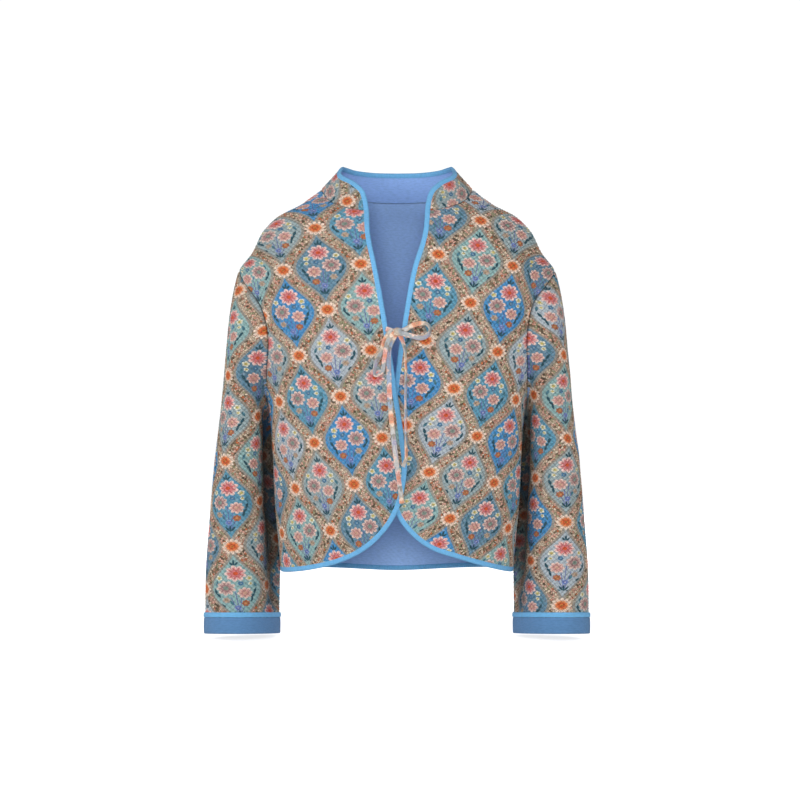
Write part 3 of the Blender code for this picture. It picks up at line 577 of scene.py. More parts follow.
# Rings of a rosette in millimetres: radius, petals, turn, heart, colours
ROSETTE_RINGS = (
    (14.4, 12, 0.3, 0.58, ROSETTE_PETALS),
    (8.8, 10, 0.9, 0.56, ROSETTE_MIDDLE),
    (2.6, 5, 0.2, 0.50, ROSETTE_DOT),
)

# One spray in millimetres from the middle of its oval: across, up, radius, petals, turn, heart, colours
SPRAY_FLOWERS = (
    (-6.0, 8.0, 4.2, 5, 0.4, 0.30, BLUE_FLOWER),
    (1.8, -27.8, 5.0, 6, 0.3, 0.30, VIOLET_FLOWER),
    (15.8, -16.0, 5.6, 6, 1.0, 0.45, GREY_BUD),
    (-9.5, -21.5, 6.0, 7, 0.6, 0.45, BUD),
    (-19.5, 7.0, 3.4, 5, 0.9, 0.40, CREAM_FLOWER),
    (-18.5, 15.0, 5.2, 5, 0.1, 0.40, CREAM_FLOWER),
    (22.5, 16.5, 4.8, 5, 0.7, 0.40, CREAM_FLOWER),
    (-10.3, -6.4, 10.6, 8, 0.2, 0.26, PALE_FLOWER),
    (14.6, 1.8, 13.6, 9, 0.5, 0.30, ASTER),
    (-0.8, 23.0, 14.8, 9, 0.0, 0.24, PINK_FLOWER),
)

# Leaves of the spray: across, up, lean in degrees, half length, half width
SPRAY_LEAVES = (
    (0.5, 39.2, 90, 4.8, 1.6),
    (-2.8, 37.4, 135, 3.8, 1.5),
    (3.8, 37.4, 45, 3.8, 1.5),
    (-26.4, 5.0, 60, 4.6, 2.1),
    (-25.0, -4.5, 120, 5.0, 2.2),
    (-21.0, -11.0, 150, 4.6, 2.0),
    (-19.0, -16.0, 110, 4.4, 1.9),
    (26.5, 9.0, 110, 4.4, 1.9),
    (30.0, -3.0, 80, 4.8, 2.1),
    (26.0, -9.0, 45, 4.6, 2.0),
    (20.5, -24.0, 40, 4.0, 1.7),
    (9.0, -20.0, 60, 4.6, 1.9),
    (0.5, -36.6, 90, 5.2, 1.6),
    (-3.4, -37.0, 130, 5.0, 1.6),
    (4.4, -37.0, 50, 5.0, 1.6),
    (-6.0, -40.0, 160, 3.8, 1.3),
    (7.0, -40.0, 20, 3.8, 1.3),
)

# Stems of the spray from their foot: across, up, reach, lean, bend per metre
SPRAY_STEMS = (
    (-0.5, -37.0, 30.0, -0.10, -3.0),
    (0.8, -37.0, 34.0, 0.02, 1.0),
    (2.0, -37.0, 26.0, 0.25, 1.5),
    (-1.5, -37.0, 16.0, -0.45, -4.0),
)
MILLIMETRE = 0.001


def clear_light():
    """An empty camera and light set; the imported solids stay."""
    for old in list(bpy.data.objects):
        if old.type in {"CAMERA", "LIGHT"}:
            bpy.data.objects.remove(old, do_unlink=True)


def add_object(name, data):
    """A new object in the scene, at the origin."""
    made = bpy.data.objects.new(name, data)
    bpy.context.collection.objects.link(made)
    return made


def make_camera():
    lens = bpy.data.cameras.new("photo_camera")
    lens.lens = CAMERA_LENS
    lens.sensor_width = CAMERA_SENSOR
    camera = add_object("photo_camera", lens)
    camera.location = CAMERA_PLACE
    camera.rotation_euler = (math.pi / 2, 0, 0)
    bpy.context.scene.camera = camera


# Curves


def curve_through(keys, values):
    """A smooth curve through values given at rising keys."""
    keys = np.asarray(keys, dtype=float)
    values = np.asarray(values, dtype=float)
    tangents = np.gradient(values, keys, axis=0)

    def curve(position):
        position = np.clip(np.asarray(position, dtype=float), keys[0], keys[-1])
        index = np.clip(np.searchsorted(keys, position, side="right") - 1, 0, len(keys) - 2)
        step = keys[index + 1] - keys[index]
        share = (position - keys[index]) / step
        if values.ndim > 1:
            share = share[..., None]
            step = step[..., None]
        rest = 1 - share
        start = (1 + 2 * share) * rest ** 2 * values[index]
        finish = share ** 2 * (3 - 2 * share) * values[index + 1]
        leave = share * rest ** 2 * step * tangents[index]
        arrive = share ** 2 * rest * step * tangents[index + 1]
        return start + finish + leave - arrive

    return curve


def column_curves(columns, rows):
    """One curve for each column, keyed by the first column."""
    table = np.array(rows, dtype=float)
    return {name: curve_through(table[:, 0], table[:, i + 1]) for i, name in enumerate(columns[1:])}


def running_sum(steps):
    """Sums of the steps so far, from zero."""
    return np.concatenate(([0.0], np.cumsum(steps)))


def walked_lengths(points):
    """Length walked along points."""
    return running_sum(np.linalg.norm(np.diff(points, axis=0), axis=1))


def even_points(points, step):
    """Points at even steps along the smooth curve through points."""
    points = np.array(points, dtype=float)
    keys = walked_lengths(points[:, :3])
    dense = curve_through(keys, points)(np.linspace(0, keys[-1], CURVE_POINTS))
    walked = walked_lengths(dense[:, :3])
    at = np.linspace(0, walked[-1], max(2, int(round(walked[-1] / step)) + 1))
    return np.stack([np.interp(at, walked, dense[:, i]) for i in range(dense.shape[1])], axis=1)


def smooth_step(value, start, finish):
    share = np.clip((value - start) / (finish - start), 0, 1)
    return share * share * (3 - 2 * share)


def unit(vectors):
    return vectors / np.linalg.norm(vectors, axis=-1, keepdims=True)


def fold_rise(place, start, finish, width, rise):
    """Height of a soft fold that runs from start to finish and fades at both ends."""
    along = finish - start
    length = np.linalg.norm(along)
    share = np.clip(((place - start) @ along) / length ** 2, 0, 1)
    away = np.linalg.norm(place - (start + share[..., None] * along), axis=-1)
    fade = FOLD_END_SHARE + (1 - FOLD_END_SHARE) * np.sin(np.pi * share)
    return rise * fade * np.exp(-((away / width) ** 2))


# Surface of the body

SECTION = column_curves(TORSO_COLUMNS, TORSO)
ARMHOLE_MIDDLE = (SHOULDER_TIP + UNDERARM) / 2
ARMHOLE_HALF_HEIGHT = (SHOULDER_TIP - UNDERARM) / 2


def slope_lengths():
    """Heights and the length walked up the side line, for even steps over the shoulder."""
    heights = np.linspace(TORSO[0][0], TORSO[-1][0], CURVE_POINTS)
    rise = np.gradient(SECTION["half_width"](heights), heights)
    rate = np.where(heights > SHOULDER_TIP, np.sqrt(1 + rise ** 2), 1.0)
    return heights, running_sum((rate[1:] + rate[:-1]) / 2 * np.diff(heights))


HEIGHT_STEPS, HEIGHT_WALKED = slope_lengths()


def to_pattern(angle, height):
    """Flat place in which the folds of the body are laid out."""
    return np.stack([angle * MEAN_RADIUS, np.interp(height, HEIGHT_STEPS, HEIGHT_WALKED)], axis=-1)


def full_depth(sine, height):
    """Depth of a level section in its middle, to the front or to the back."""
    return np.where(sine > 0, SECTION["front_depth"](height), SECTION["back_depth"](height))


def plain_radius(angle, height):
    """Distance of the body from its middle line, without its folds."""
    sine = np.sin(angle)
    power = SECTION["squareness"](height)
    wide = np.abs(np.cos(angle)) / SECTION["half_width"](height)
    deep = np.abs(sine) / full_depth(sine, height)
    return (wide ** power + deep ** power) ** (-1 / power)


def torso_point(angle, height, layer=0):
    """Outer cloth surface of the body; layer is 1 on the upper front and -1 on the lower one."""
    cosine = np.cos(angle)
    radius = plain_radius(angle, height)
    place = to_pattern(angle, height)
    for angle_a, height_a, angle_b, height_b, width, rise in TORSO_FOLDS:
        start = to_pattern(math.radians(angle_a), height_a)
        finish = to_pattern(math.radians(angle_b), height_b)
        radius = radius + fold_rise(place, start, finish, width, rise)
    if layer:
        across = np.abs(radius * cosine)
        near = 1 - smooth_step(across, *CROSSING_REACH)
        low = smooth_step(-height, -CROSSING_TOP[0], -CROSSING_TOP[1])
        radius = radius + layer * CROSSING_LIFT * near * low
    return np.stack([radius * cosine, -radius * np.sin(angle), height + 0 * radius], axis=-1)


def torso_normal(angle, height, layer=0):
    turn = torso_point(angle + PROBE / MEAN_RADIUS, height, layer)
    turn = turn - torso_point(angle - PROBE / MEAN_RADIUS, height, layer)
    lift = torso_point(angle, height + PROBE, layer) - torso_point(angle, height - PROBE, layer)
    return unit(np.cross(lift, turn))


def section_depth(across, height, front):
    """Depth of the body at a place across a level section."""
    power = SECTION["squareness"](height)
    share = np.clip(np.abs(across) / SECTION["half_width"](height), 0, 1)
    full = SECTION["front_depth" if front else "back_depth"](height)
    return full * (1 - share ** power) ** (1 / power)


def front_angle(across, height):
    """Angle on the front of the body of a point seen from the front."""
    return np.arctan2(section_depth(across, height, True), across)


def armhole(turn):
    """Angle and height on the armhole; turn runs from the shoulder tip over the front."""
    sine = np.sin(turn)
    height = ARMHOLE_MIDDLE + ARMHOLE_HALF_HEIGHT * np.cos(turn)
    reach = np.where(sine > 0, ARMHOLE_FRONT_DEPTH, ARMHOLE_BACK_DEPTH)
    depth = reach * np.abs(sine)
    power = SECTION["squareness"](height)
    share = depth / full_depth(sine, height)
    across = SECTION["half_width"](height) * (1 - share ** power) ** (1 / power)
    return np.sign(sine) * np.arctan2(depth, across), height


def inset_edge(points, distance):
    """Points moved to the left of their path in the flat view."""
    along = unit(np.gradient(points, axis=0))
    return points + distance * np.stack([-along[:, 1], along[:, 0]], axis=1)


def front_cut_edge(side):
    """Cloth edge of a front under its binding, as angles and heights from the neck down."""
    finished = even_points(FRONT_EDGE_LEFT if side > 0 else FRONT_EDGE_RIGHT, FINE_EDGE_STEP)
    cloth = inset_edge(finished, BINDING_WIDTH)
    cloth[0, 1] = FRONT_NECK[-1][1]
    cloth[-1, 1] = SIDE_HEM + BINDING_WIDTH
    angle = front_angle(cloth[:, 0], cloth[:, 1])
    angle[-1] = 0.0
    walked = walked_lengths(torso_point(angle, cloth[:, 1]))
    at = np.linspace(0, walked[-1], int(round(walked[-1] / EDGE_STEP)) + 1)
    return np.interp(at, walked, angle), np.interp(at, walked, cloth[:, 1])


def front_neck_edge():
    """Front neck seam from the high shoulder point to the front edge."""
    points = even_points(FRONT_NECK, EDGE_STEP)
    angle = front_angle(points[:, 0], points[:, 1])
    angle[0] = 0.0
    return angle, points[:, 1]


def armhole_edge(front):
    """Armhole of a panel from the underarm to the shoulder tip."""
    count = int(round(math.pi * ARMHOLE_HALF_HEIGHT / EDGE_STEP)) + 1
    turn = np.linspace(math.pi, 0, count)
    angle, height = armhole(turn if front else -turn)
    return (np.maximum(angle, 0) if front else np.minimum(angle, 0)), height


def straight_heights(low, high):
    """Heights strictly between low and high, at even steps of the pattern."""
    low_walk, high_walk = np.interp((low, high), HEIGHT_STEPS, HEIGHT_WALKED)
    count = max(2, int(round((high_walk - low_walk) / EDGE_STEP)) + 1)
    return np.interp(np.linspace(low_walk, high_walk, count)[1:-1], HEIGHT_WALKED, HEIGHT_STEPS)


def back_neck_edge():
    """Back neck seam from the high shoulder point to the middle of the back."""
    share = np.linspace(0, 1, BACK_NECK_POINTS)
    angle = -share * math.pi / 2
    return angle, -BACK_NECK_DROP * (1 - (1 - share) ** 2)


def back_hem_edge():
    """Cloth edge of the back hem from the side to the middle of the back."""
    share = np.linspace(0, 1, BACK_HEM_POINTS)
    angle = -share * math.pi / 2
    height = SIDE_HEM + BINDING_WIDTH - BACK_HEM_DROP * np.sin(share * math.pi / 2) ** 2
    return angle, height


def front_outline(side):
    """Closed outline of a front from the side hem upwards: angles, heights and which points are sewn."""
    cut_angle, cut_height = front_cut_edge(side)
    hole_angle, hole_height = armhole_edge(True)
    neck_angle, neck_height = front_neck_edge()
    low_side = straight_heights(cut_height[-1], hole_height[0])
    shoulder = straight_heights(hole_height[-1], neck_height[0])
    angle = (0 * low_side, hole_angle, 0 * shoulder, neck_angle[:-1], cut_angle)
    height = (low_side, hole_height, shoulder, neck_height[:-1], cut_height)
    angle = np.concatenate(angle)
    sewn = np.arange(len(angle)) < len(angle) - len(cut_angle)
    return angle, np.concatenate(height), sewn


def back_outline():
    """Closed outline of the back, from the middle of its hem round by the left."""
    hem_angle, hem_height = back_hem_edge()
    hole_angle, hole_height = armhole_edge(False)
    neck_angle, neck_height = back_neck_edge()
    low_side = straight_heights(hem_height[0], hole_height[0])
    shoulder = straight_heights(hole_height[-1], neck_height[0])
    parts = (hem_angle[::-1], 0 * low_side, hole_angle, 0 * shoulder, neck_angle)
    angle = np.concatenate(parts)
    height = np.concatenate((hem_height[::-1], low_side, hole_height, shoulder, neck_height))
    sewn = np.arange(len(angle)) >= len(hem_angle)
    mirrored = -math.pi - angle[1:-1]
    angle = np.concatenate((angle, mirrored[::-1]))
    height = np.concatenate((height, height[1:-1][::-1]))
    return angle, height, np.concatenate((sewn, sewn[1:-1][::-1]))


def side_angles(side, angle):
    """Angles of the left half, or of its mirror image on the right."""
    return angle if side > 0 else math.pi - angle


# Flat cloth: along the level section from the middle line, and up the cloth


def flat_place(angle, height, front):
    """Flat place of points on a panel, seen from outside it."""
    across = np.cos(angle) * plain_radius(angle, height)
    level = np.minimum(height, FLAT_TOP)
    share = np.sin(np.linspace(0, math.pi / 2, ARC_STEPS))
    x = np.abs(across)[:, None] * share
    y = section_depth(x, level[:, None], front)
    along = np.hypot(np.diff(x, axis=1), np.diff(y, axis=1)).sum(axis=1) * np.sign(across)
    share = 1 - (1 - np.linspace(0, 1, ARC_STEPS)) ** 2
    z = level[:, None] + (height - level)[:, None] * share
    y = section_depth(across[:, None], z, front)
    climb = np.hypot(np.diff(z, axis=1), np.diff(y, axis=1)).sum(axis=1)
    return np.stack([along if front else -along, level + np.where(height > level, climb, 0)], axis=1)


def level_table(height, front):
    """Length along a level section and the place across, from one side to the other."""
    turn = np.linspace(-math.pi / 2, math.pi / 2, ARC_TABLE)
    x = SECTION["half_width"](height) * np.sin(turn)
    y = section_depth(x, np.full(ARC_TABLE, height), front)
    walked = running_sum(np.hypot(np.diff(x), np.diff(y)))
    return walked - walked[-1] / 2, turn


def body_place(flat, front):
    """Angle and height on the body of flat places that lie in rows and columns."""
    side = 1 if front else -1
    angle = np.empty(len(flat))
    height = np.empty(len(flat))
    low = flat[:, 1] <= FLAT_TOP
    for row in np.unique(flat[low, 1]):
        here = low & (flat[:, 1] == row)
        turn = np.interp(flat[here, 0] * side, *level_table(row, front))
        across = SECTION["half_width"](row) * np.sin(turn)
        angle[here] = side * np.arctan2(section_depth(across, row + 0 * across, front), across)
        height[here] = row
    top_table = level_table(FLAT_TOP, front)
    heights = np.linspace(SHOULDER_TIP, TORSO[-1][0], ARC_TABLE)
    widths = SECTION["half_width"](heights)
    share = 1 - (1 - np.linspace(0, 1, ARC_STEPS)) ** 2
    for column in np.unique(flat[~low, 0]):
        here = ~low & (flat[:, 0] == column)
        across = SECTION["half_width"](FLAT_TOP) * math.sin(np.interp(column * side, *top_table))
        ridge = np.interp(-abs(across), -widths, heights)
        z = FLAT_TOP + (ridge - FLAT_TOP) * share
        y = section_depth(across, z, front)
        climb = FLAT_TOP + running_sum(np.hypot(np.diff(z), np.diff(y)))
        height[here] = np.interp(flat[here, 1], climb, z)
        angle[here] = side * np.arctan2(np.interp(flat[here, 1], climb, y), across)
    return angle, height


def print_place(flat, laid):
    """Place in the print of flat cloth, for a print laid with its own steps and bends."""
    origin, across, down, bend, shear, shift = (np.array(value, dtype=float) for value in laid)
    steps = np.zeros_like(flat)
    for _ in range(PRINT_SOLVES):
        i, j = steps[:, :1], steps[:, 1:]
        miss = origin + i * across + j * down + j * j * bend + i * j * shear - flat
        by_i = across + j * shear
        by_j = down + 2 * j * bend + i * shear
        area = by_i[:, 0] * by_j[:, 1] - by_i[:, 1] * by_j[:, 0]
        steps[:, 0] -= (miss[:, 0] * by_j[:, 1] - miss[:, 1] * by_j[:, 0]) / area
        steps[:, 1] -= (miss[:, 1] * by_i[:, 0] - miss[:, 0] * by_i[:, 1]) / area
    return (steps + shift) * np.array([TRELLIS_ACROSS, -TRELLIS_UP])


def seam_sink(distance):
    """How far the cloth is drawn in at a distance from a seam: a crease with a sharp foot."""
    return SEAM_SINK * (1 - np.clip(distance / SEAM_REACH, 0, 1)) ** 2


def quilt_height(place):
    """Puffed lozenges between crossed rows of quilting, about a middle height of zero."""
    rising = place[..., 0] / QUILT_ACROSS + place[..., 1] / QUILT_UP
    falling = place[..., 0] / QUILT_ACROSS - place[..., 1] / QUILT_UP
    puff = np.abs(np.sin(math.pi * rising) * np.sin(math.pi * falling)) ** QUILT_FULLNESS
    return QUILT_RISE * (puff - QUILT_MEAN)


# Meshes


def turned_outwards(points, triangles):
    """True if the triangles of a closed shape face outwards."""
    first, second, third = (points[triangles[:, i]] for i in range(3))
    return np.einsum("ij,ij->i", first, np.cross(second, third)).sum() > 0


def fill(items, field, values, kind=np.float32):
    """Set one field of all the items of a mesh."""
    items.foreach_set(field, np.ascontiguousarray(values, dtype=kind).ravel())


def make_piece(name, points, triangles, places, corners, materials, kinds=None, seams=None, painted_crease_shades=None):
    """A smooth closed piece with a flat place for each corner, and marks on its sewn points and in its deep
    folds that carry painted shade.
    """
    triangles = np.asarray(triangles)
    corners = np.asarray(corners)
    if not turned_outwards(points, triangles):
        triangles = triangles[:, ::-1]
        corners = corners[:, ::-1]
    count = len(triangles)
    mesh = bpy.data.meshes.new(name)
    mesh.vertices.add(len(points))
    fill(mesh.vertices, "co", points)
    mesh.loops.add(3 * count)
    fill(mesh.loops, "vertex_index", triangles, np.int32)
    mesh.polygons.add(count)
    fill(mesh.polygons, "loop_start", np.arange(0, 3 * count, 3), np.int32)
    for material in materials:
        mesh.materials.append(material)
    if kinds is not None:
        fill(mesh.polygons, "material_index", kinds, np.int32)
    fill(mesh.uv_layers.new(name="cloth").data, "uv", places[corners.ravel()])
    # Marks that carry painted shade: along the seams and in the deep sleeve folds
    for mark, values in (("seam", seams), ("painted_crease_shade", painted_crease_shades)):
        if values is not None:
            fill(mesh.attributes.new(mark, "FLOAT", "POINT").data, "value", values)
    mesh.update(calc_edges=True)
    mesh.validate()
    mesh.shade_smooth()
    mesh.set_sharp_from_angle(angle=math.radians(SHARP_ANGLE))
    return add_object(name, mesh)


def settle(piece, slot, *nodes):
    """Fix a piece to the jacket in place of its solids."""
    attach(piece, "root")
    if nodes:
        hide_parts(*nodes)


def ring_triangles(rows, columns):
    """Triangles of rings that close, as point numbers and as numbers in a grid one column wider."""
    i, j = (grid.ravel() for grid in np.meshgrid(np.arange(rows - 1), np.arange(columns), indexing="ij"))
    cell = ((0, 0), (0, 1), (1, 1), (1, 0))
    halves = ((0, 1, 2), (0, 2, 3))
    points = [(i + a) * columns + (j + b) % columns for a, b in cell]
    places = [(i + a) * (columns + 1) + j + b for a, b in cell]
    return tuple(
        np.concatenate([np.stack([numbers[k] for k in half], axis=1) for half in halves])
        for numbers in (points, places)
    )


def strip_between(first, second):
    """Triangles between two closed rows of point numbers of the same length."""
    after = np.roll(first, -1)
    one = np.stack([after, first, second], axis=1)
    two = np.stack([after, second, np.roll(second, -1)], axis=1)
    return np.concatenate((one, two))


def wrapped_places(around, along):
    """Flat places of rings: the length around for each column and the length along for each row."""
    return np.stack(np.meshgrid(around, along), axis=-1).reshape(-1, 2)


def mesh_area(points, triangles):
    first, second, third = (points[triangles[:, i]] for i in range(3))
    return float(np.linalg.norm(np.cross(second - first, third - first), axis=1).sum() / 2)


def near_distance(places, targets):
    """Distance of each place to the nearest target."""
    tree = kdtree.KDTree(len(targets))
    for i, target in enumerate(targets):
        tree.insert((target[0], target[1], 0.0), i)
    tree.balance()
    return np.array([tree.find((x, y, 0.0))[2] for x, y in places])


def staggered_places(rim, step):
    """Even staggered places inside a closed rim."""
    low = rim.min(axis=0)
    high = rim.max(axis=0)
    columns = np.arange(low[0], high[0], step)
    rows = np.arange(low[1], high[1], step * math.sqrt(3) / 2)
    grid = np.concatenate([
        np.stack([columns + (step / 2 if i % 2 else 0), np.full(len(columns), row)], axis=1)
        for i, row in enumerate(rows)
    ])
    inside = np.zeros(len(grid), dtype=bool)
    for (x0, y0), (x1, y1) in zip(np.roll(rim, 1, axis=0), rim):
        if y0 != y1:
            crosses = (y0 > grid[:, 1]) != (y1 > grid[:, 1])
            inside ^= crosses & (grid[:, 0] < x0 + (grid[:, 1] - y0) * (x1 - x0) / (y1 - y0))
    grid = grid[inside]
    return grid[near_distance(grid, rim) > EDGE_CLEARANCE * min(step, EDGE_STEP)]


def fill_rim(rim, inner):
    """Triangles over a rim and the places inside it, numbered with the rim first."""
    places = np.concatenate((rim, inner))
    loop = list(range(len(rim)))
    edges = [(i, (i + 1) % len(loop)) for i in loop]
    found = geometry.delaunay_2d_cdt([tuple(place) for place in places], edges, [loop], 1, WELD)
    origin = np.array([first[0] for first in found[3]])
    triangles = origin[np.array([tuple(face) for face in found[2]])]
    one, two, three = (places[triangles[:, i]] for i in range(3))
    turn = (two - one)[:, 0] * (three - one)[:, 1] - (two - one)[:, 1] * (three - one)[:, 0]
    triangles[turn < 0] = triangles[turn < 0][:, ::-1]
    return triangles[np.abs(turn) > 0]


def make_panel(node, outline, layer, front, laid):
    """A quilted panel: printed face, plain inner face and the cut edge between them."""
    angle, height, sewn = outline
    rim = flat_place(angle, height, front)
    after = np.roll(rim, -1, axis=0)
    area = (rim[:, 0] * after[:, 1] - rim[:, 1] * after[:, 0]).sum() / 2
    if area < 0:
        angle, height, sewn, rim = angle[::-1], height[::-1], sewn[::-1], rim[::-1]
    points = []
    triangles = []
    places = []
    kinds = []
    seams = []
    for step, face in ((CLOTH_STEP, 0), (LINING_STEP, 1)):
        inner = staggered_places(rim, step)
        inner_angle, inner_height = body_place(inner, front)
        flat = np.concatenate((rim, inner))
        all_angle = np.concatenate((angle, inner_angle))
        all_height = np.concatenate((height, inner_height))
        normal = torso_normal(all_angle, all_height, layer)
        surface = torso_point(all_angle, all_height, layer)
        printed = print_place(flat, laid)
        filled = fill_rim(rim, inner)
        if face:
            surface = surface - WALL * normal
            filled = filled[:, ::-1]
        else:
            from_seam = near_distance(flat, rim[sewn])
            from_edge = near_distance(flat, rim[~sewn])
            lift = quilt_height(printed) * smooth_step(from_edge, 0, EDGE_REACH)
            lift = lift * smooth_step(from_seam, 0, SEAM_REACH) - seam_sink(from_seam)
            surface = surface + lift[:, None] * normal
        triangles.append(filled + sum(len(part) for part in points))
        points.append(surface)
        places.append(printed)
        kinds.append(np.full(len(filled), face))
        seams.append(np.concatenate((sewn, np.zeros(len(inner)))))
    count = len(rim)
    triangles.append(strip_between(np.arange(count), np.arange(count) + len(points[0])))
    by_neck = np.tile(height >= -BACK_NECK_DROP, 2)
    kinds.append(np.where(by_neck & (not front), 1, 0))
    triangles = np.concatenate(triangles)
    piece = make_piece(
        node + "_panel", np.concatenate(points), triangles, np.concatenate(places), triangles,
        (FINISH["print"], FINISH["lining"]), np.concatenate(kinds), np.concatenate(seams),
    )
    settle(piece, "print_cloth", node)
    return piece, tuple(np.ptp(rim, axis=0)), abs(float(area))


# Trims


def sweep(middles, outwards, normals, section):
    """Closed tube of a section moved along a path: points, triangles, flat places and corners."""
    section = np.array(section, dtype=float)
    points = middles[:, None] + section[:, :1] * outwards[:, None] + section[:, 1:] * normals[:, None]
    rows, count = points.shape[:2]
    round_length = walked_lengths(np.concatenate((section, section[:1])))
    along = walked_lengths(middles)
    places = wrapped_places(round_length, along)
    triangles, corners = ring_triangles(rows, count)
    fan = np.stack([np.zeros(count - 2, int), np.arange(1, count - 1), np.arange(2, count)], axis=1)
    last = (rows - 1) * count
    triangles = np.concatenate((triangles, fan[:, ::-1], fan + last))
    corners = np.concatenate((corners, fan[:, ::-1], fan + (rows - 1) * (count + 1)))
    return points.reshape(-1, 3), triangles, places, corners


def binding_frame(edge, normals, sign):
    """Middles, outward and normal directions of a binding along a cloth edge."""
    middles = edge - WALL / 2 * normals
    along = unit(np.gradient(middles, axis=0))
    outwards = sign * unit(np.cross(along, normals))
    return middles, outwards, np.cross(outwards, along) * sign


def make_binding(node, edge, normals, sign):
    """Binding along a cloth edge; sign picks the side of the path that is off the cloth."""
    middles, outwards, raised = binding_frame(edge, normals, sign)
    width = BINDING_WIDTH + BINDING_LAP
    section = [(out * width - BINDING_LAP, off * BINDING_HALF_THICKNESS) for out, off in BINDING_SHAPE]
    points, triangles, places, corners = sweep(middles, outwards, raised, section)
    piece = make_piece(node + "_tape", points, triangles, places, corners, (FINISH["binding"],))
    settle(piece, "binding_cloth", node)
    STITCH_ROWS.append(middles + STITCH_INSET * outwards + STITCH_HEIGHT * BINDING_HALF_THICKNESS * raised)
    return piece


def front_face(across, height, standoff):
    """A point at a distance in front of the upper front."""
    depth = SECTION["front_depth"](height)
    depth = depth + CROSSING_LIFT * smooth_step(-height, -CROSSING_TOP[0], -CROSSING_TOP[1])
    return np.stack([across, -depth - standoff, height], axis=-1)


def make_tie(name, route, nodes):
    """A flat strip along a route seen from the front."""
    path = even_points(route, TIE_STEP)
    middles = front_face(path[:, 0], path[:, 1], path[:, 2])
    along = unit(np.gradient(middles, axis=0))
    across = unit(np.cross(along, np.array([0.0, -1.0, 0.0])))
    for i in range(1, len(across)):
        if across[i] @ across[i - 1] < 0:
            across[i] = -across[i]
    normal = np.cross(across, along)
    turn = np.radians(path[:, 3])[:, None]
    width = np.cos(turn) * across + np.sin(turn) * normal
    normal = np.cross(width, along)
    section = [(out * TIE_WIDTH / 2, off * TIE_THICKNESS / 2) for out, off in TIE_SHAPE]
    points, triangles, places, corners = sweep(middles, width, normal, section)
    piece = make_piece(name, points, triangles, places, corners, (FINISH["tie"],))
    settle(piece, "tie_cloth", *nodes)
    return piece, middles


def make_knot():
    """A squarish lump with the grooves of the strip wound round it."""
    centre = front_face(np.array(KNOT_CENTRE[0]), np.array(KNOT_CENTRE[1]), np.array(KNOT_STANDOFF))
    rise = np.linspace(math.pi / 2, -math.pi / 2, KNOT_RINGS)[1:-1]
    turn = np.arange(KNOT_SIDES) * 2 * math.pi / KNOT_SIDES
    rise, turn = np.meshgrid(rise, turn, indexing="ij")
    ball = np.stack([np.cos(rise) * np.cos(turn), np.cos(rise) * np.sin(turn), np.sin(rise)], axis=-1)
    wound = ball[..., 0] * KNOT_WIND[0] + ball[..., 2] * KNOT_WIND[1]
    groove = 1 - KNOT_GROOVE * np.abs(np.sin(KNOT_WRAPS * wound))
    lump = np.sign(ball) * np.abs(ball) ** KNOT_SQUARENESS * groove[..., None] * np.array(KNOT_HALF_SIZE)
    poles = np.array([[0, 0, KNOT_HALF_SIZE[2]], [0, 0, -KNOT_HALF_SIZE[2]]])
    points = np.concatenate((lump.reshape(-1, 3), poles)) + centre
    rows = rise.shape[0]
    triangles, _ = ring_triangles(rows, KNOT_SIDES)
    first = np.arange(KNOT_SIDES)
    after = (first + 1) % KNOT_SIDES
    top = rows * KNOT_SIDES
    last = (rows - 1) * KNOT_SIDES
    cap = np.stack([np.full(KNOT_SIDES, top), after, first], axis=1)
    foot = np.stack([np.full(KNOT_SIDES, top + 1), last + first, last + after], axis=1)
    triangles = np.concatenate((triangles, cap, foot))
    places = np.stack([points[:, 0] - points[:, 1], points[:, 2]], axis=1)
    piece = make_piece("tie_knot_wound", points, triangles, places, triangles, (FINISH["tie"],))
    settle(piece, "tie_cloth", "tie_knot")
    return piece


# Sleeves and cuffs

SLEEVE_CURVES = column_curves(SLEEVE_COLUMNS, SLEEVE)


def sleeve_pattern(turn, station):
    """Flat place in which the folds of a sleeve are laid out."""
    return np.stack([turn * SLEEVE_FOLD_RADIUS, station * SLEEVE_STATION_LENGTH], axis=-1)


def sleeve_folds(turn, station, side, below=math.inf):
    """Height of a sleeve's folds, or of those alone that sink further than a limit."""
    flat = sleeve_pattern(turn % (2 * math.pi), station)
    height = np.zeros(np.shape(turn))
    for fold_side, angle_a, station_a, angle_b, station_b, width, rise in SLEEVE_FOLDS:
        if fold_side == side and rise < below:
            start = sleeve_pattern(math.radians(angle_a), station_a)
            finish = sleeve_pattern(math.radians(angle_b), station_b)
            height = height + fold_rise(flat, start, finish, width, rise)
    return height


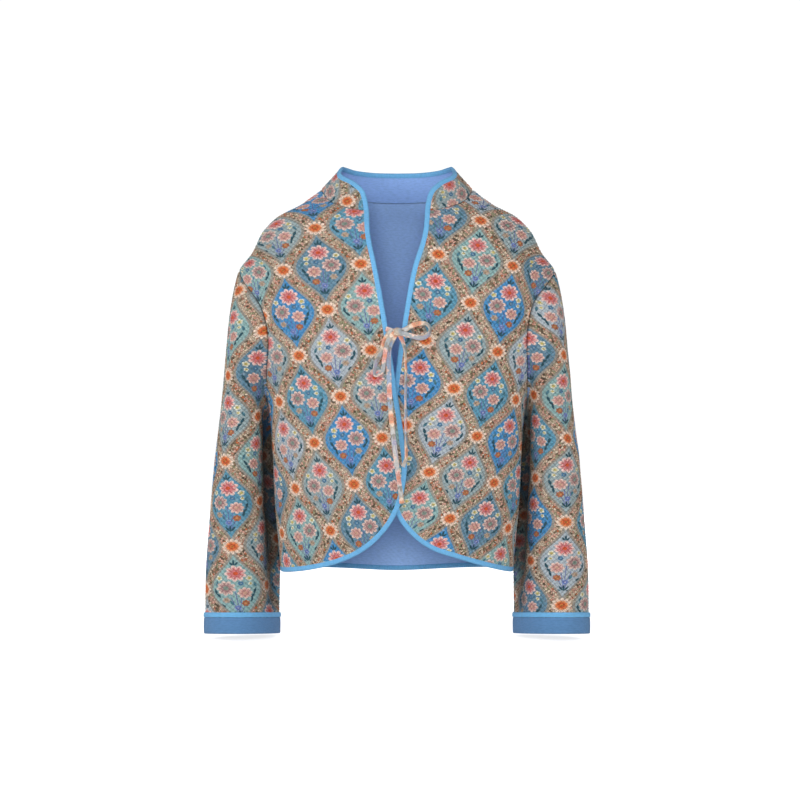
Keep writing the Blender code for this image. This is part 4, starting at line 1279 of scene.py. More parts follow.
def sleeve_point(turn, station, side):
    """Outer surface of a sleeve as on the left; turn runs from its outer line over the front."""
    row = {name: curve(station) for name, curve in SLEEVE_CURVES.items()}
    cosine = np.cos(turn)
    sine = np.sin(turn)
    x = (row["outer_x"] + row["inner_x"]) / 2 + (row["outer_x"] - row["inner_x"]) / 2 * cosine
    hook = row["inner_back"] * ((1 - cosine) / 2) ** SLEEVE_BACK_HOOK
    y = row["middle_y"] - row["half_depth"] * sine + hook
    z = (row["outer_z"] + row["inner_z"]) / 2 + (row["outer_z"] - row["inner_z"]) / 2 * cosine
    tube = np.stack([x, y, z], axis=-1)
    wrapped = (turn + math.pi) % (2 * math.pi) - math.pi
    angle, height = armhole(wrapped)
    seam = torso_point(side_angles(side, angle), height) * np.array([side, 1, 1])
    clear = smooth_step(station, 0, SLEEVE_STANDOFF_STATIONS)
    seam[..., 0] += clear * SLEEVE_UNDERARM_STANDOFF * (1 - cosine) / 2
    share = smooth_step(station, 0, SLEEVE_BLEND_STATIONS)[..., None]
    place = seam + (tube - seam) * share
    outward = np.stack([cosine, -sine, 0 * cosine], axis=-1)
    place = place + outward * sleeve_folds(turn, station, side)[..., None]
    last = len(SLEEVE) - 1
    lean = CUFF_LEAN * smooth_step(station, last - CUFF_LEAN_STATIONS, last) * (place[..., 1] - CUFF_MIDDLE)
    return place - lean[..., None] * np.array([0, 0, 1])


def ring_normals(rings):
    """Outward normals of points in rings."""
    around = np.roll(rings, -1, axis=1) - np.roll(rings, 1, axis=1)
    along = np.gradient(rings, axis=0)
    return unit(np.cross(around, along))


def sleeve_flat(rings):
    """Flat places of rings as on the left: along the level section from the outer line, and the height."""
    closed = np.concatenate((rings, rings[:, :1]), axis=1)
    lines = [closed[::-1, i] for i in range(closed.shape[1])]
    levels = np.linspace(rings[..., 2].min(), rings[..., 2].max(), SLEEVE_LEVELS)
    section = [[np.interp(levels, line[:, 2], line[:, axis]) for axis in range(2)] for line in lines]
    step = np.linalg.norm(np.diff(np.array(section), axis=0), axis=1)
    walked = np.concatenate((np.zeros((1, SLEEVE_LEVELS)), np.cumsum(step, axis=0)))
    walked = walked[len(lines) // 2] - walked
    across = [np.interp(line[::-1, 2], levels, row) for line, row in zip(lines, walked)]
    return np.stack([np.stack(across, axis=1), closed[..., 2]], axis=-1)


def make_sleeve(node, side):
    """A quilted sleeve: printed tube, plain inner tube and the ends between them."""
    dense = np.linspace(0, len(SLEEVE) - 1, CURVE_POINTS)
    outer_line = sleeve_point(np.zeros(CURVE_POINTS), dense, side)
    walked = walked_lengths(outer_line)
    rows = int(round(walked[-1] / SLEEVE_ROW)) // LINING_ROWS * LINING_ROWS + 1
    stations = np.interp(np.linspace(0, walked[-1], rows), walked, dense)
    turns = -math.pi + np.arange(SLEEVE_SIDES) * 2 * math.pi / SLEEVE_SIDES
    station, turn = np.meshgrid(stations, turns, indexing="ij")
    rings = sleeve_point(turn, station, side)
    mirror = np.array([side, 1, 1])
    normals = ring_normals(rings)
    seam_angle, seam_height = armhole(turns)
    normals[0] = torso_normal(side_angles(side, seam_angle), seam_height) * mirror
    flat = sleeve_flat(rings)
    seen = flat.reshape(-1, 2) * np.array([side, 1])
    printed = print_place(seen, PRINT_ON_SLEEVE[side])
    from_seam = np.linalg.norm(rings - rings[:1], axis=-1)
    lift = quilt_height(printed.reshape(flat.shape)[:, :-1]) * smooth_step(from_seam, 0, SEAM_REACH)
    lift = lift - seam_sink(from_seam)
    outer = ((rings + lift[..., None] * normals) * mirror).reshape(-1, 3)
    kept = np.arange(0, rows, LINING_ROWS)
    inner = ((rings - WALL * normals)[kept] * mirror).reshape(-1, 3)
    outer_triangles, outer_corners = ring_triangles(rows, SLEEVE_SIDES)
    inner_triangles, inner_corners = ring_triangles(len(kept), SLEEVE_SIDES)
    inner_triangles = inner_triangles[:, ::-1] + len(outer)
    inner_places = printed.reshape(rows, SLEEVE_SIDES + 1, 2)[kept].reshape(-1, 2)
    inner_corners = inner_corners[:, ::-1] + len(printed)
    ring = np.arange(SLEEVE_SIDES)
    last_outer = (rows - 1) * SLEEVE_SIDES
    last_inner = len(outer) + (len(kept) - 1) * SLEEVE_SIDES
    top = strip_between(ring[::-1], ring[::-1] + len(outer))
    foot = strip_between(ring + last_outer, ring + last_inner)
    shell = np.concatenate((outer_triangles, inner_triangles, top[:, ::-1], foot[:, ::-1]))
    corners = np.concatenate((outer_corners, inner_corners, top[:, ::-1] % len(outer), np.zeros_like(foot)))
    kinds = np.ones(len(shell))
    kinds[:len(outer_triangles)] = 0
    kinds[-len(top) - len(foot):-len(foot)] = 0
    sewn = np.concatenate([np.arange(len(face)) < SLEEVE_SIDES for face in (outer, inner)])
    # Painted shade, strongest at the bottom of the deepest folds beside the body
    painted_crease_shade = (sleeve_folds(turn, station, side, HOLLOW_RISE).ravel() / HOLLOW_BOTTOM) ** HOLLOW_SPREAD
    painted_crease_shade = np.concatenate((painted_crease_shade, np.zeros(len(inner))))
    points = np.concatenate((outer, inner))
    places = np.concatenate((printed, inner_places))
    finishes = (FINISH["print"], FINISH["lining"])
    piece = make_piece(node + "_tube", points, shell, places, corners, finishes, kinds, sewn, painted_crease_shade)
    settle(piece, "print_cloth", node)
    area = mesh_area((rings * mirror).reshape(-1, 3), outer_triangles)
    return piece, (float(np.ptp(flat[..., 0], axis=1).max()), float(walked[-1])), area


def corner_cut(section):
    """A closed section with its corners cut again and again."""
    section = np.array(section)
    for _ in range(CORNER_ROUNDS):
        step = np.roll(section, -1, axis=0) - section
        cuts = (section + CORNER_SHARE * step, section + (1 - CORNER_SHARE) * step)
        section = np.stack(cuts, axis=1).reshape(-1, 2)
    return section


def make_cuff_ring(node, side, section, finish, slot):
    """A ring round the end of a sleeve, its section given by distance off the sleeve and height."""
    turn = np.arange(SLEEVE_SIDES) * 2 * math.pi / SLEEVE_SIDES
    last = len(SLEEVE) - 1
    end = sleeve_point(turn[None], np.full((1, SLEEVE_SIDES), last), side)[0]
    around = np.roll(end, -1, axis=0) - np.roll(end, 1, axis=0)
    normal = unit(np.cross(around, np.array([0.0, 0.0, -1.0])))
    mirror = np.array([side, 1, 1])
    section = corner_cut(section)
    rows = []
    for off, height in section:
        station = np.interp(height, (SLEEVE[last][2], SLEEVE[last - 1][2]), (last, last - 1))
        row = sleeve_point(turn, station + 0 * turn, side) + off * normal
        row[:, 2] = height - CUFF_LEAN * (row[:, 1] - CUFF_MIDDLE)
        rows.append(row * mirror)
    rings = np.stack(rows + rows[:1])
    count = len(section)
    triangles, corners = ring_triangles(count + 1, SLEEVE_SIDES)
    around = walked_lengths(np.concatenate((end, end[:1])))
    across = walked_lengths(np.concatenate((section, section[:1])))
    places = wrapped_places(around, across)
    triangles = triangles % (count * SLEEVE_SIDES)
    points = rings[:-1].reshape(-1, 3)
    piece = make_piece(node + "_band", points, triangles, places, corners, (FINISH[finish],))
    settle(piece, slot, node)
    return piece, float(around[-1]), mesh_area(points, triangles) / 2


def cuff_section():
    """Turned-back band with its fold under the end of the sleeve."""
    ledge = SLEEVE[-1][2] - CUFF_STANDOFF
    return (
        (CUFF_STANDOFF, CUFF_TOP),
        (CUFF_PROUD, CUFF_TOP),
        (CUFF_PROUD, CUFF_BOTTOM + CUFF_ROUNDING),
        (CUFF_PROUD - CUFF_ROUNDING, CUFF_BOTTOM),
        (CUFF_ROUNDING - WALL, CUFF_BOTTOM),
        (-WALL, CUFF_BOTTOM + CUFF_ROUNDING),
        (-WALL, ledge),
        (CUFF_STANDOFF, ledge),
    )


def cuff_binding_section():
    """Rounded band over the upper edge of the cuff."""
    low = CUFF_TOP + CUFF_STANDOFF
    high = CUFF_BINDING_TOP
    return (
        (CUFF_STANDOFF, low),
        (CUFF_PROUD, low),
        (CUFF_BINDING_PROUD, low + CUFF_ROUNDING),
        (CUFF_BINDING_PROUD, high - CUFF_ROUNDING),
        (CUFF_BINDING_PROUD - CUFF_ROUNDING, high),
        (CUFF_STANDOFF, high),
    )


# Collar


def mirrored_half(half):
    """A row of the left half, followed by its mirror image from the middle back to the right."""
    return np.concatenate((half, (half[:-1] * np.array([-1, 1, 1]))[::-1]))


def collar_grid():
    """Outer points and normals of the collar: rows from the seam up, columns round the neck."""
    front_angles, front_heights = front_neck_edge()
    back_angles, back_heights = back_neck_edge()
    angles = np.concatenate((front_angles[:0:-1], [0.0], back_angles[1:]))
    heights = np.concatenate((front_heights[:0:-1], [0.0], back_heights[1:]))
    low = torso_point(angles, heights)
    seam_normals = torso_normal(angles, heights)
    shares = walked_lengths(low)
    shares = shares / shares[-1]
    edge = column_curves(COLLAR_COLUMNS, COLLAR_EDGE)
    high = mirrored_half(np.stack([edge[name](shares) for name in COLLAR_COLUMNS[1:]], axis=1))
    low = mirrored_half(low)
    rows = int(round(np.linalg.norm(high - low, axis=1).max() / COLLAR_ROW)) + 1
    grid = np.stack([low + (high - low) * share for share in np.linspace(0, 1, rows)])
    normals = unit(np.cross(np.gradient(grid, axis=1), np.gradient(grid, axis=0)))
    normals[0] = mirrored_half(seam_normals)
    return grid, normals


def make_collar():
    """A quilted stand collar: printed face, plain inner face and the edges between them."""
    grid, normals = collar_grid()
    rows, columns = grid.shape[:2]
    round_neck = walked_lengths(grid[rows // 2])
    round_neck = round_neck - round_neck[-1] / 2
    climb = np.cumsum(np.linalg.norm(np.diff(grid, axis=0, prepend=grid[:1]), axis=2), axis=0)
    flat = np.stack([np.broadcast_to(-round_neck, climb.shape), climb], axis=-1).reshape(-1, 2)
    printed = print_place(flat, PRINT_ON_COLLAR)
    from_edge = np.minimum.reduce((climb[-1:] - climb, round_neck - round_neck[0] + 0 * climb,
                                   round_neck[-1] - round_neck + 0 * climb))
    lift = quilt_height(printed).reshape(rows, columns) * smooth_step(from_edge, 0, EDGE_REACH)
    lift = lift * smooth_step(climb, 0, SEAM_REACH) - seam_sink(climb)
    outer = (grid + lift[..., None] * normals).reshape(-1, 3)
    inner = grid - WALL * normals
    inner[0] += SEAM_NOTCH * unit(grid[1] - grid[0])
    inner = inner.reshape(-1, 3)
    _, face = ring_triangles(rows, columns - 1)
    number = np.arange(rows * columns).reshape(rows, columns)
    rim = np.concatenate((number[0], number[1:, -1], number[-1, -2::-1], number[-2:0:-1, 0]))
    edge = strip_between(rim, rim + len(outer))
    triangles = np.concatenate((face, face[:, ::-1] + len(outer), edge))
    kinds = np.ones(len(triangles))
    kinds[:len(face)] = 0
    points = np.concatenate((outer, inner))
    places = np.tile(printed, (2, 1))
    finishes = (FINISH["print"], FINISH["shaded_copy_collar_lining"])
    sewn = np.tile(np.arange(len(outer)) < columns, 2)
    piece = make_piece("collar_stand", points, triangles, places, triangles, finishes, kinds, sewn)
    settle(piece, "print_cloth", "collar")
    size = (float(round_neck[-1] - round_neck[0]), float(climb.max()))
    return piece, size, mesh_area(grid.reshape(-1, 3), face)


# Node groups


class Graph:
    """Short calls for the nodes of one tree."""

    def __init__(self, tree):
        self.tree = tree

    def put(self, socket, value):
        if isinstance(value, bpy.types.NodeSocket):
            self.tree.links.new(value, socket)
        else:
            socket.default_value = value

    def node(self, kind, values=(), **settings):
        made = self.tree.nodes.new(kind)
        for name, value in settings.items():
            setattr(made, name, value)
        for name, value in dict(values).items():
            self.put(made.inputs[name], value)
        return made

    def math(self, operation, *values):
        return self.node("ShaderNodeMath", dict(enumerate(values)), operation=operation).outputs[0]

    def vector(self, operation, *values):
        made = self.node("ShaderNodeVectorMath", dict(enumerate(values)), operation=operation)
        return made.outputs["Value" if operation == "LENGTH" else "Vector"]

    def mix(self, share, first, second):
        made = self.node("ShaderNodeMix", {0: share, 6: first, 7: second}, data_type="RGBA")
        return made.outputs[2]

    def choose(self, share, first, second):
        made = self.node("ShaderNodeMix", {0: share, 2: first, 3: second}, data_type="FLOAT")
        return made.outputs[0]

    def rise(self, value, low, high):
        """0 below low, 1 above high and smooth between."""
        made = self.node(
            "ShaderNodeMapRange", {"Value": value, "From Min": low, "From Max": high},
            interpolation_type="SMOOTHSTEP",
        )
        return made.outputs[0]

    def parts(self, vector):
        made = self.node("ShaderNodeSeparateXYZ", {0: vector})
        return made.outputs[0], made.outputs[1]

    def join(self, x, y):
        return self.node("ShaderNodeCombineXYZ", {0: x, 1: y}).outputs[0]

    def noise(self, place, scale, detail):
        made = self.node("ShaderNodeTexNoise", {"Vector": place, "Scale": scale, "Detail": detail})
        return made.outputs[0]

    def ramp(self, share, colours):
        """Colours in steps, each from its own share on."""
        made = self.node("ShaderNodeValToRGB", {0: share})
        made.color_ramp.interpolation = "CONSTANT"
        stops = made.color_ramp.elements
        while len(stops) < len(colours):
            stops.new(1.0)
        for stop, (place, colour) in zip(stops, colours):
            stop.position = place
            stop.color = colour
        return made.outputs[0]

    def group(self, tree, **values):
        made = self.node("ShaderNodeGroup", node_tree=tree)
        for name, value in values.items():
            self.put(made.inputs[name], value)
        return made.outputs


SOCKETS = {
    "place": "NodeSocketVector", "size": "NodeSocketFloat", "colour": "NodeSocketColor",
    "geometry": "NodeSocketGeometry", "material": "NodeSocketMaterial",
}


def new_group(name, inputs, outputs, kind="ShaderNodeTree"):
    """A node group with named sockets, its graph, and its inputs and outputs by name."""
    tree = bpy.data.node_groups.new(name, kind)
    for way, labels in (("INPUT", inputs), ("OUTPUT", outputs)):
        for label, socket in labels.items():
            tree.interface.new_socket(name=label, in_out=way, socket_type=SOCKETS[socket])
    given = tree.nodes.new("NodeGroupInput")
    taken = tree.nodes.new("NodeGroupOutput")
    return tree, Graph(tree), given.outputs, taken.inputs


def flower_group():
    """A squat round flower with lobed petals, pale petal edges, fine darker lines and a heart."""
    tree, graph, given, taken = new_group(
        "printed_flower",
        {
            "Place": "place", "Radius": "size", "Petals": "size", "Turn": "size", "Heart": "size",
            "Petal": "colour", "Tip": "colour", "Line": "colour", "Middle": "colour", "Under": "colour",
        },
        {"Colour": "colour"},
    )
    x, y = graph.parts(given["Place"])
    y = graph.math("DIVIDE", y, FLOWER_SQUAT)
    away = graph.math("DIVIDE", graph.vector("LENGTH", graph.join(x, y)), given["Radius"])
    swing = graph.math("MULTIPLY_ADD", graph.math("ARCTAN2", y, x), given["Petals"], given["Turn"])
    wave = graph.math("ABSOLUTE", graph.math("COSINE", graph.math("MULTIPLY", swing, 0.5)))
    share = graph.math("DIVIDE", away, graph.math("MULTIPLY_ADD", wave, *PETAL_WAVE))
    side = graph.math("MULTIPLY", graph.rise(wave, *PETAL_SIDE_WAVE), graph.rise(away, *PETAL_SIDE_FROM))
    pale = graph.math("MAXIMUM", graph.rise(share, *PETAL_TIP_FROM), side)
    petal = graph.mix(pale, given["Petal"], given["Tip"])
    gap = graph.math("MULTIPLY", graph.rise(wave, *PETAL_GAP_WAVE), graph.rise(away, *PETAL_GAP_FROM))
    petal = graph.mix(graph.math("MULTIPLY", gap, PETAL_GAP_STRENGTH), petal, given["Line"])
    ring = graph.math("MULTIPLY", graph.rise(share, *PETAL_RING_FROM), graph.rise(share, *PETAL_RING_TO))
    petal = graph.mix(graph.math("MULTIPLY", ring, PETAL_RING_STRENGTH), petal, given["Line"])
    heart = graph.rise(graph.math("DIVIDE", away, given["Heart"]), *HEART_EDGE)
    petal = graph.mix(heart, petal, given["Middle"])
    graph.put(taken["Colour"], graph.mix(graph.rise(share, *FLOWER_EDGE), given["Under"], petal))
    return tree


def leaf_group():
    """A pointed leaf about its own middle."""
    tree, graph, given, taken = new_group(
        "printed_leaf",
        {
            "Place": "place", "Lean": "size", "Length": "size", "Width": "size",
            "Leaf": "colour", "Under": "colour",
        },
        {"Colour": "colour"},
    )
    turned = graph.node(
        "ShaderNodeVectorRotate", {"Vector": given["Place"], "Angle": given["Lean"]}, rotation_type="Z_AXIS"
    ).outputs[0]
    x, y = graph.parts(turned)
    along = graph.math("DIVIDE", x, given["Length"])
    room = graph.math("SUBTRACT", 1.0, graph.math("MULTIPLY", along, along))
    share = graph.math("DIVIDE", graph.math("ABSOLUTE", y), given["Width"])
    inside = graph.rise(graph.math("SUBTRACT", room, share), *LEAF_EDGE)
    graph.put(taken["Colour"], graph.mix(inside, given["Under"], given["Leaf"]))
    return tree


def stem_group():
    """A thin bent line that climbs from its foot."""
    tree, graph, given, taken = new_group(
        "printed_stem",
        {
            "Place": "place", "Reach": "size", "Lean": "size", "Bend": "size", "Width": "size",
            "Stem": "colour", "Under": "colour",
        },
        {"Colour": "colour"},
    )
    x, y = graph.parts(given["Place"])
    straight = graph.math("MULTIPLY", y, given["Lean"])
    bow = graph.math("MULTIPLY_ADD", graph.math("MULTIPLY", y, y), given["Bend"], straight)
    away = graph.math("DIVIDE", graph.math("ABSOLUTE", graph.math("SUBTRACT", x, bow)), given["Width"])
    inside = graph.math("MULTIPLY", graph.rise(away, *STEM_EDGE), graph.rise(y, *STEM_END))
    left = graph.math("SUBTRACT", given["Reach"], y)
    inside = graph.math("MULTIPLY", inside, graph.rise(left, *STEM_END))
    graph.put(taken["Colour"], graph.mix(inside, given["Under"], given["Stem"]))
    return tree


def print_group():
    """The whole print: bands of small specks, pointed ovals with a spray, and rosettes where bands meet."""
    flower, leaf, stem = flower_group(), leaf_group(), stem_group()
    tree, graph, given, taken = new_group("trellis_print", {"Place": "place"}, {"Colour": "colour"})

    def nearest(value, start):
        """Signed step to the nearest of every second whole number from start, and that number."""
        shifted = graph.math("SUBTRACT", value, start)
        whole = graph.math("MULTIPLY", graph.math("ROUND", graph.math("MULTIPLY", shifted, 0.5)), 2.0)
        return graph.math("SUBTRACT", shifted, whole), graph.math("ADD", whole, start)

    def reach(first, second):
        return graph.math("ADD", graph.math("ABSOLUTE", first), graph.math("ABSOLUTE", second))

    def from_spray(at_x, at_y):
        """The place as seen from a point of the spray."""
        return graph.vector("SUBTRACT", spray, (at_x * MILLIMETRE, at_y * MILLIMETRE, 0.0))

    def with_flower(under, place, radius, petals, turn, heart, colours):
        """A colour with a flower printed on it."""
        petal, tip, line, middle = colours
        return graph.group(
            flower, Place=place, Radius=radius * MILLIMETRE, Petals=float(petals), Turn=turn, Heart=heart,
            Petal=petal, Tip=tip, Line=line, Middle=middle, Under=under,
        )[0]

    x, y = graph.parts(given["Place"])
    across = graph.math("DIVIDE", x, TRELLIS_ACROSS)
    up = graph.math("DIVIDE", y, TRELLIS_UP)
    even_x, even_column = nearest(across, 0.0)
    odd_x, odd_column = nearest(across, 1.0)
    even_y, even_row = nearest(up, 0.0)
    odd_y, odd_row = nearest(up, 1.0)
    even = graph.math("LESS_THAN", reach(even_x, even_y), 1.0)
    oval_x = graph.math("MULTIPLY", graph.choose(even, odd_x, even_x), TRELLIS_ACROSS)
    oval_y = graph.math("MULTIPLY", graph.choose(even, odd_y, even_y), TRELLIS_UP)
    column = graph.choose(even, odd_column, even_column)
    row = graph.choose(even, odd_row, even_row)
    drop = graph.math("FLOOR", graph.math("MULTIPLY_ADD", row, -0.5, 0.5))
    drop = graph.math("FLOORED_MODULO", drop, float(len(GROUND_REPEAT[0])))
    aside = graph.math("FLOORED_MODULO", column, float(len(GROUND_REPEAT)))
    tones = [GROUND_TONES[tone] for tones in GROUND_REPEAT for tone in tones]
    cell = graph.math("MULTIPLY_ADD", aside, float(len(GROUND_REPEAT[0])), graph.math("ADD", drop, 0.5))
    stops = [(i / len(tones), tone) for i, tone in enumerate(tones)]
    ground = graph.ramp(graph.math("DIVIDE", cell, float(len(tones))), stops)
    spray = graph.join(graph.math("MULTIPLY", oval_x, graph.math("MULTIPLY_ADD", even, 2.0, -1.0)), oval_y)

    cells = {"Vector": given["Place"], "Scale": BAND_CELLS}
    speck = graph.node("ShaderNodeTexVoronoi", cells, voronoi_dimensions="2D").outputs["Color"]
    lace = graph.node("ShaderNodeTexVoronoi", cells, voronoi_dimensions="2D", feature="DISTANCE_TO_EDGE")
    speck = graph.node("ShaderNodeSeparateColor", {0: speck}).outputs[0]
    band = graph.ramp(speck, BAND_COLOURS)
    outline = graph.math("MULTIPLY", graph.rise(lace.outputs["Distance"], *LACE_EDGE), LACE_STRENGTH)
    band = graph.mix(outline, band, BAND_LINE)

    steep = graph.math("MINIMUM", graph.math("DIVIDE", graph.math("ABSOLUTE", oval_y), OVAL_HALF_HEIGHT), 1.0)
    wave = graph.math("MULTIPLY_ADD", graph.math("COSINE", graph.math("MULTIPLY", steep, math.pi)), 0.5, 0.5)
    arch = graph.math("SUBTRACT", 1.0, graph.math("MULTIPLY", steep, steep))
    swell = graph.math("MULTIPLY", graph.choose(OVAL_POINTEDNESS, arch, wave), OVAL_HALF_WIDTH)
    inward = graph.math("SUBTRACT", swell, graph.math("ABSOLUTE", oval_x))
    wash = graph.rise(graph.noise(given["Place"], WASH_SCALE, WASH_DETAIL), *WASH_FROM)
    colour = graph.mix(graph.math("MULTIPLY", wash, WASH_STRENGTH), ground, WASH_COLOUR)

    for at_x, at_y, height, lean, bend in SPRAY_STEMS:
        colour = graph.group(
            stem, Place=from_spray(at_x, at_y), Reach=height * MILLIMETRE, Lean=lean, Bend=bend,
            Width=STEM_HALF_WIDTH, Stem=STEM_COLOUR, Under=colour,
        )[0]
    for i, (at_x, at_y, lean, length, width) in enumerate(SPRAY_LEAVES, 1):
        colour = graph.group(
            leaf, Place=from_spray(at_x, at_y), Lean=-math.radians(lean),
            Length=length * MILLIMETRE, Width=width * MILLIMETRE,
            Leaf=LEAF_COLOUR if i % PALE_LEAF_EVERY else PALE_LEAF_COLOUR, Under=colour,
        )[0]
    for at_x, at_y, *bloom in SPRAY_FLOWERS:
        colour = with_flower(colour, from_spray(at_x, at_y), *bloom)

    border = graph.rise(inward, -OVAL_BORDER - PRINT_BLUR, -OVAL_BORDER + PRINT_BLUR)
    frame = graph.mix(border, band, BORDER_COLOUR)
    colour = graph.mix(graph.rise(inward, -PRINT_BLUR, PRINT_BLUR), frame, colour)
    by_side = graph.math("LESS_THAN", reach(odd_x, even_y), 1.0)
    meet_x = graph.math("MULTIPLY", graph.choose(by_side, even_x, odd_x), TRELLIS_ACROSS)
    meet_y = graph.math("MULTIPLY", graph.choose(by_side, odd_y, even_y), TRELLIS_UP)
    for bloom in ROSETTE_RINGS:
        colour = with_flower(colour, graph.join(meet_x, meet_y), *bloom)
    stroke = graph.rise(graph.noise(given["Place"], STROKE_SCALE, STROKE_DETAIL), *STROKE_FROM)
    colour = shade(graph, colour, stroke, STROKE_DEPTH)
    graph.put(taken["Colour"], graph.mix(PRINT_DULLNESS, colour, MIDDLE_TONE))
    return tree


def knit_group():
    """Fine jersey: small loops in rows, a slight cloudiness of the dye and slubs along the rows."""
    tree, graph, given, taken = new_group(
        "fine_jersey", {"Place": "place", "Loop": "size"}, {"Height": "size", "Cloud": "size", "Slub": "size"}
    )
    x, y = graph.parts(given["Place"])
    across = graph.math("DIVIDE", x, given["Loop"])
    up = graph.math("DIVIDE", y, given["Loop"])
    ribs = graph.math("ABSOLUTE", graph.math("SINE", graph.math("MULTIPLY", across, math.pi)))
    slanted = graph.math("MULTIPLY_ADD", ribs, LOOP_SLANT, up)
    rows = graph.math("SINE", graph.math("MULTIPLY", slanted, 2 * math.pi))
    graph.put(taken["Height"], graph.math("MULTIPLY_ADD", rows, LOOP_ROWS, ribs))
    graph.put(taken["Cloud"], graph.noise(given["Place"], CLOUD_SCALE, CLOUD_DETAIL))
    drawn = graph.vector("MULTIPLY", given["Place"], SLUB_DRAW)
    graph.put(taken["Slub"], graph.rise(graph.noise(drawn, SLUB_SCALE, SLUB_DETAIL), *SLUB_FROM))
    return tree


def quilt_group():
    """Puffed lozenges between crossed rows of quilting."""
    tree, graph, given, taken = new_group("quilting", {"Place": "place"}, {"Puff": "size"})
    x, y = graph.parts(given["Place"])
    across = graph.math("MULTIPLY", x, math.pi / QUILT_ACROSS)
    up = graph.math("MULTIPLY", y, math.pi / QUILT_UP)
    rising = graph.math("SINE", graph.math("ADD", across, up))
    falling = graph.math("SINE", graph.math("SUBTRACT", across, up))
    puff = graph.math("ABSOLUTE", graph.math("MULTIPLY", rising, falling))
    graph.put(taken["Puff"], graph.math("POWER", puff, PUFF_FULLNESS))
    return tree


# Finishes


def new_material(name, values):
    """A material with its graph and shader, and plain values on the shader's own sockets."""
    material = bpy.data.materials.new(name)
    material.use_nodes = True
    shader = material.node_tree.nodes["Principled BSDF"]
    for label, value in values.items():
        shader.inputs[label].default_value = value
    return material, Graph(material.node_tree), shader


def new_finish(name, roughness, sheen=0.0):
    """A cloth or thread with its graph and shader."""
    return new_material(name, {
        "Roughness": roughness, "Specular IOR Level": CLOTH_SPECULAR,
        "Sheen Weight": sheen, "Sheen Roughness": SHEEN_ROUGHNESS,
    })


def cloth_place(graph):
    """The flat place on the cloth."""
    return graph.node("ShaderNodeUVMap", uv_map="cloth").outputs[0]


def shade(graph, colour, share, depth):
    """A colour darkened by up to depth where share is low."""
    dark = graph.math("MULTIPLY_ADD", share, depth, 1 - depth)
    grey = graph.node("ShaderNodeCombineXYZ", {0: dark, 1: dark, 2: dark}).outputs[0]
    return graph.vector("MULTIPLY", colour, grey)


def painted_marked_shade(graph, colour, mark, start, depth):
    """Painted shade: a colour darkened by up to depth where the points of the cloth carry a mark."""
    strength = graph.node("ShaderNodeAttribute", attribute_name=mark).outputs["Fac"]
    return shade(graph, colour, graph.rise(strength, 1.0, start), depth)


def finish_bump(graph, shader, height, distance, strength):
    bump = graph.node("ShaderNodeBump", {"Height": height, "Distance": distance, "Strength": strength})
    graph.put(shader.inputs["Normal"], bump.outputs[0])


def make_finishes():
    """All the finishes by name."""
    print_tree, knit, quilting = print_group(), knit_group(), quilt_group()
    made = {}

    made["print"], graph, shader = new_finish("printed_quilted_cotton", PRINT_ROUGHNESS, PRINT_SHEEN)
    place = cloth_place(graph)
    puff = graph.group(quilting, Place=place)["Puff"]
    grain = graph.group(knit, Place=place, Loop=PRINT_LOOP)
    # Painted shade in the grooves between the quilted puffs
    colour = shade(graph, graph.group(print_tree, Place=place)[0], graph.rise(puff, *GROOVE_SHADE_FROM), GROOVE_SHADE_DEPTH)
    colour = shade(graph, colour, grain["Cloud"], CLOUD_DEPTH)
    # Painted shade in the deep sleeve folds beside the body
    colour = painted_marked_shade(graph, colour, "painted_crease_shade", *PAINTED_CREASE_SHADE)
    # Painted shade along the seams of the printed cloth
    graph.put(shader.inputs["Base Color"], painted_marked_shade(graph, colour, "seam", *PRINT_SEAM_PAINTED_SHADE))
    height = graph.math("MULTIPLY_ADD", grain["Height"], PRINT_GRAIN, puff)
    finish_bump(graph, shader, height, *PRINT_RELIEF)

    for name, label, tone, loop in JERSEYS:
        made[name], graph, shader = new_finish(label, JERSEY_ROUGHNESS, JERSEY_SHEEN)
        place = cloth_place(graph)
        grain = graph.group(knit, Place=place, Loop=loop)
        dark = tuple(JERSEY_DARK * part for part in tone[:3]) + (1.0,)
        colour = graph.mix(grain["Cloud"], dark, tone)
        # Painted shade between the knit loops
        colour = shade(graph, colour, graph.rise(grain["Height"], *JERSEY_LOOP_SHADE_FROM), JERSEY_LOOP_SHADE_DEPTH)
        colour = shade(graph, colour, grain["Slub"], SLUB_DEPTH)
        height = grain["Height"]
        if name.endswith("lining"):
            # Painted shade along the seams of the lining
            colour = painted_marked_shade(graph, colour, "seam", *LINING_SEAM_PAINTED_SHADE)
            puff = graph.group(quilting, Place=place)["Puff"]
            height = graph.math("MULTIPLY_ADD", height, LINING_GRAIN, puff)
        graph.put(shader.inputs["Base Color"], colour)
        finish_bump(graph, shader, height, *JERSEY_RELIEF)

    made["tie"], graph, shader = new_finish("printed_tie_cotton", TIE_ROUGHNESS, PRINT_SHEEN)
    place = cloth_place(graph)
    slid = graph.node("ShaderNodeMapping", {"Vector": place, "Location": TIE_SLIDE}).outputs[0]
    grain = graph.group(knit, Place=place, Loop=TIE_LOOP)
    colour = graph.mix(TIE_PALENESS, graph.group(print_tree, Place=slid)[0], TIE_PALE)
    graph.put(shader.inputs["Base Color"], shade(graph, colour, grain["Cloud"], CLOUD_DEPTH))
    finish_bump(graph, shader, grain["Height"], *TIE_RELIEF)

    made["thread"], graph, shader = new_finish("sky_blue_thread", THREAD_ROUGHNESS)
    place = graph.node("ShaderNodeTexCoord").outputs["Object"]
    twist = graph.noise(place, THREAD_SCALE, THREAD_DETAIL)
    graph.put(shader.inputs["Base Color"], graph.mix(twist, *THREAD_TONES))
    return made


# Stitches


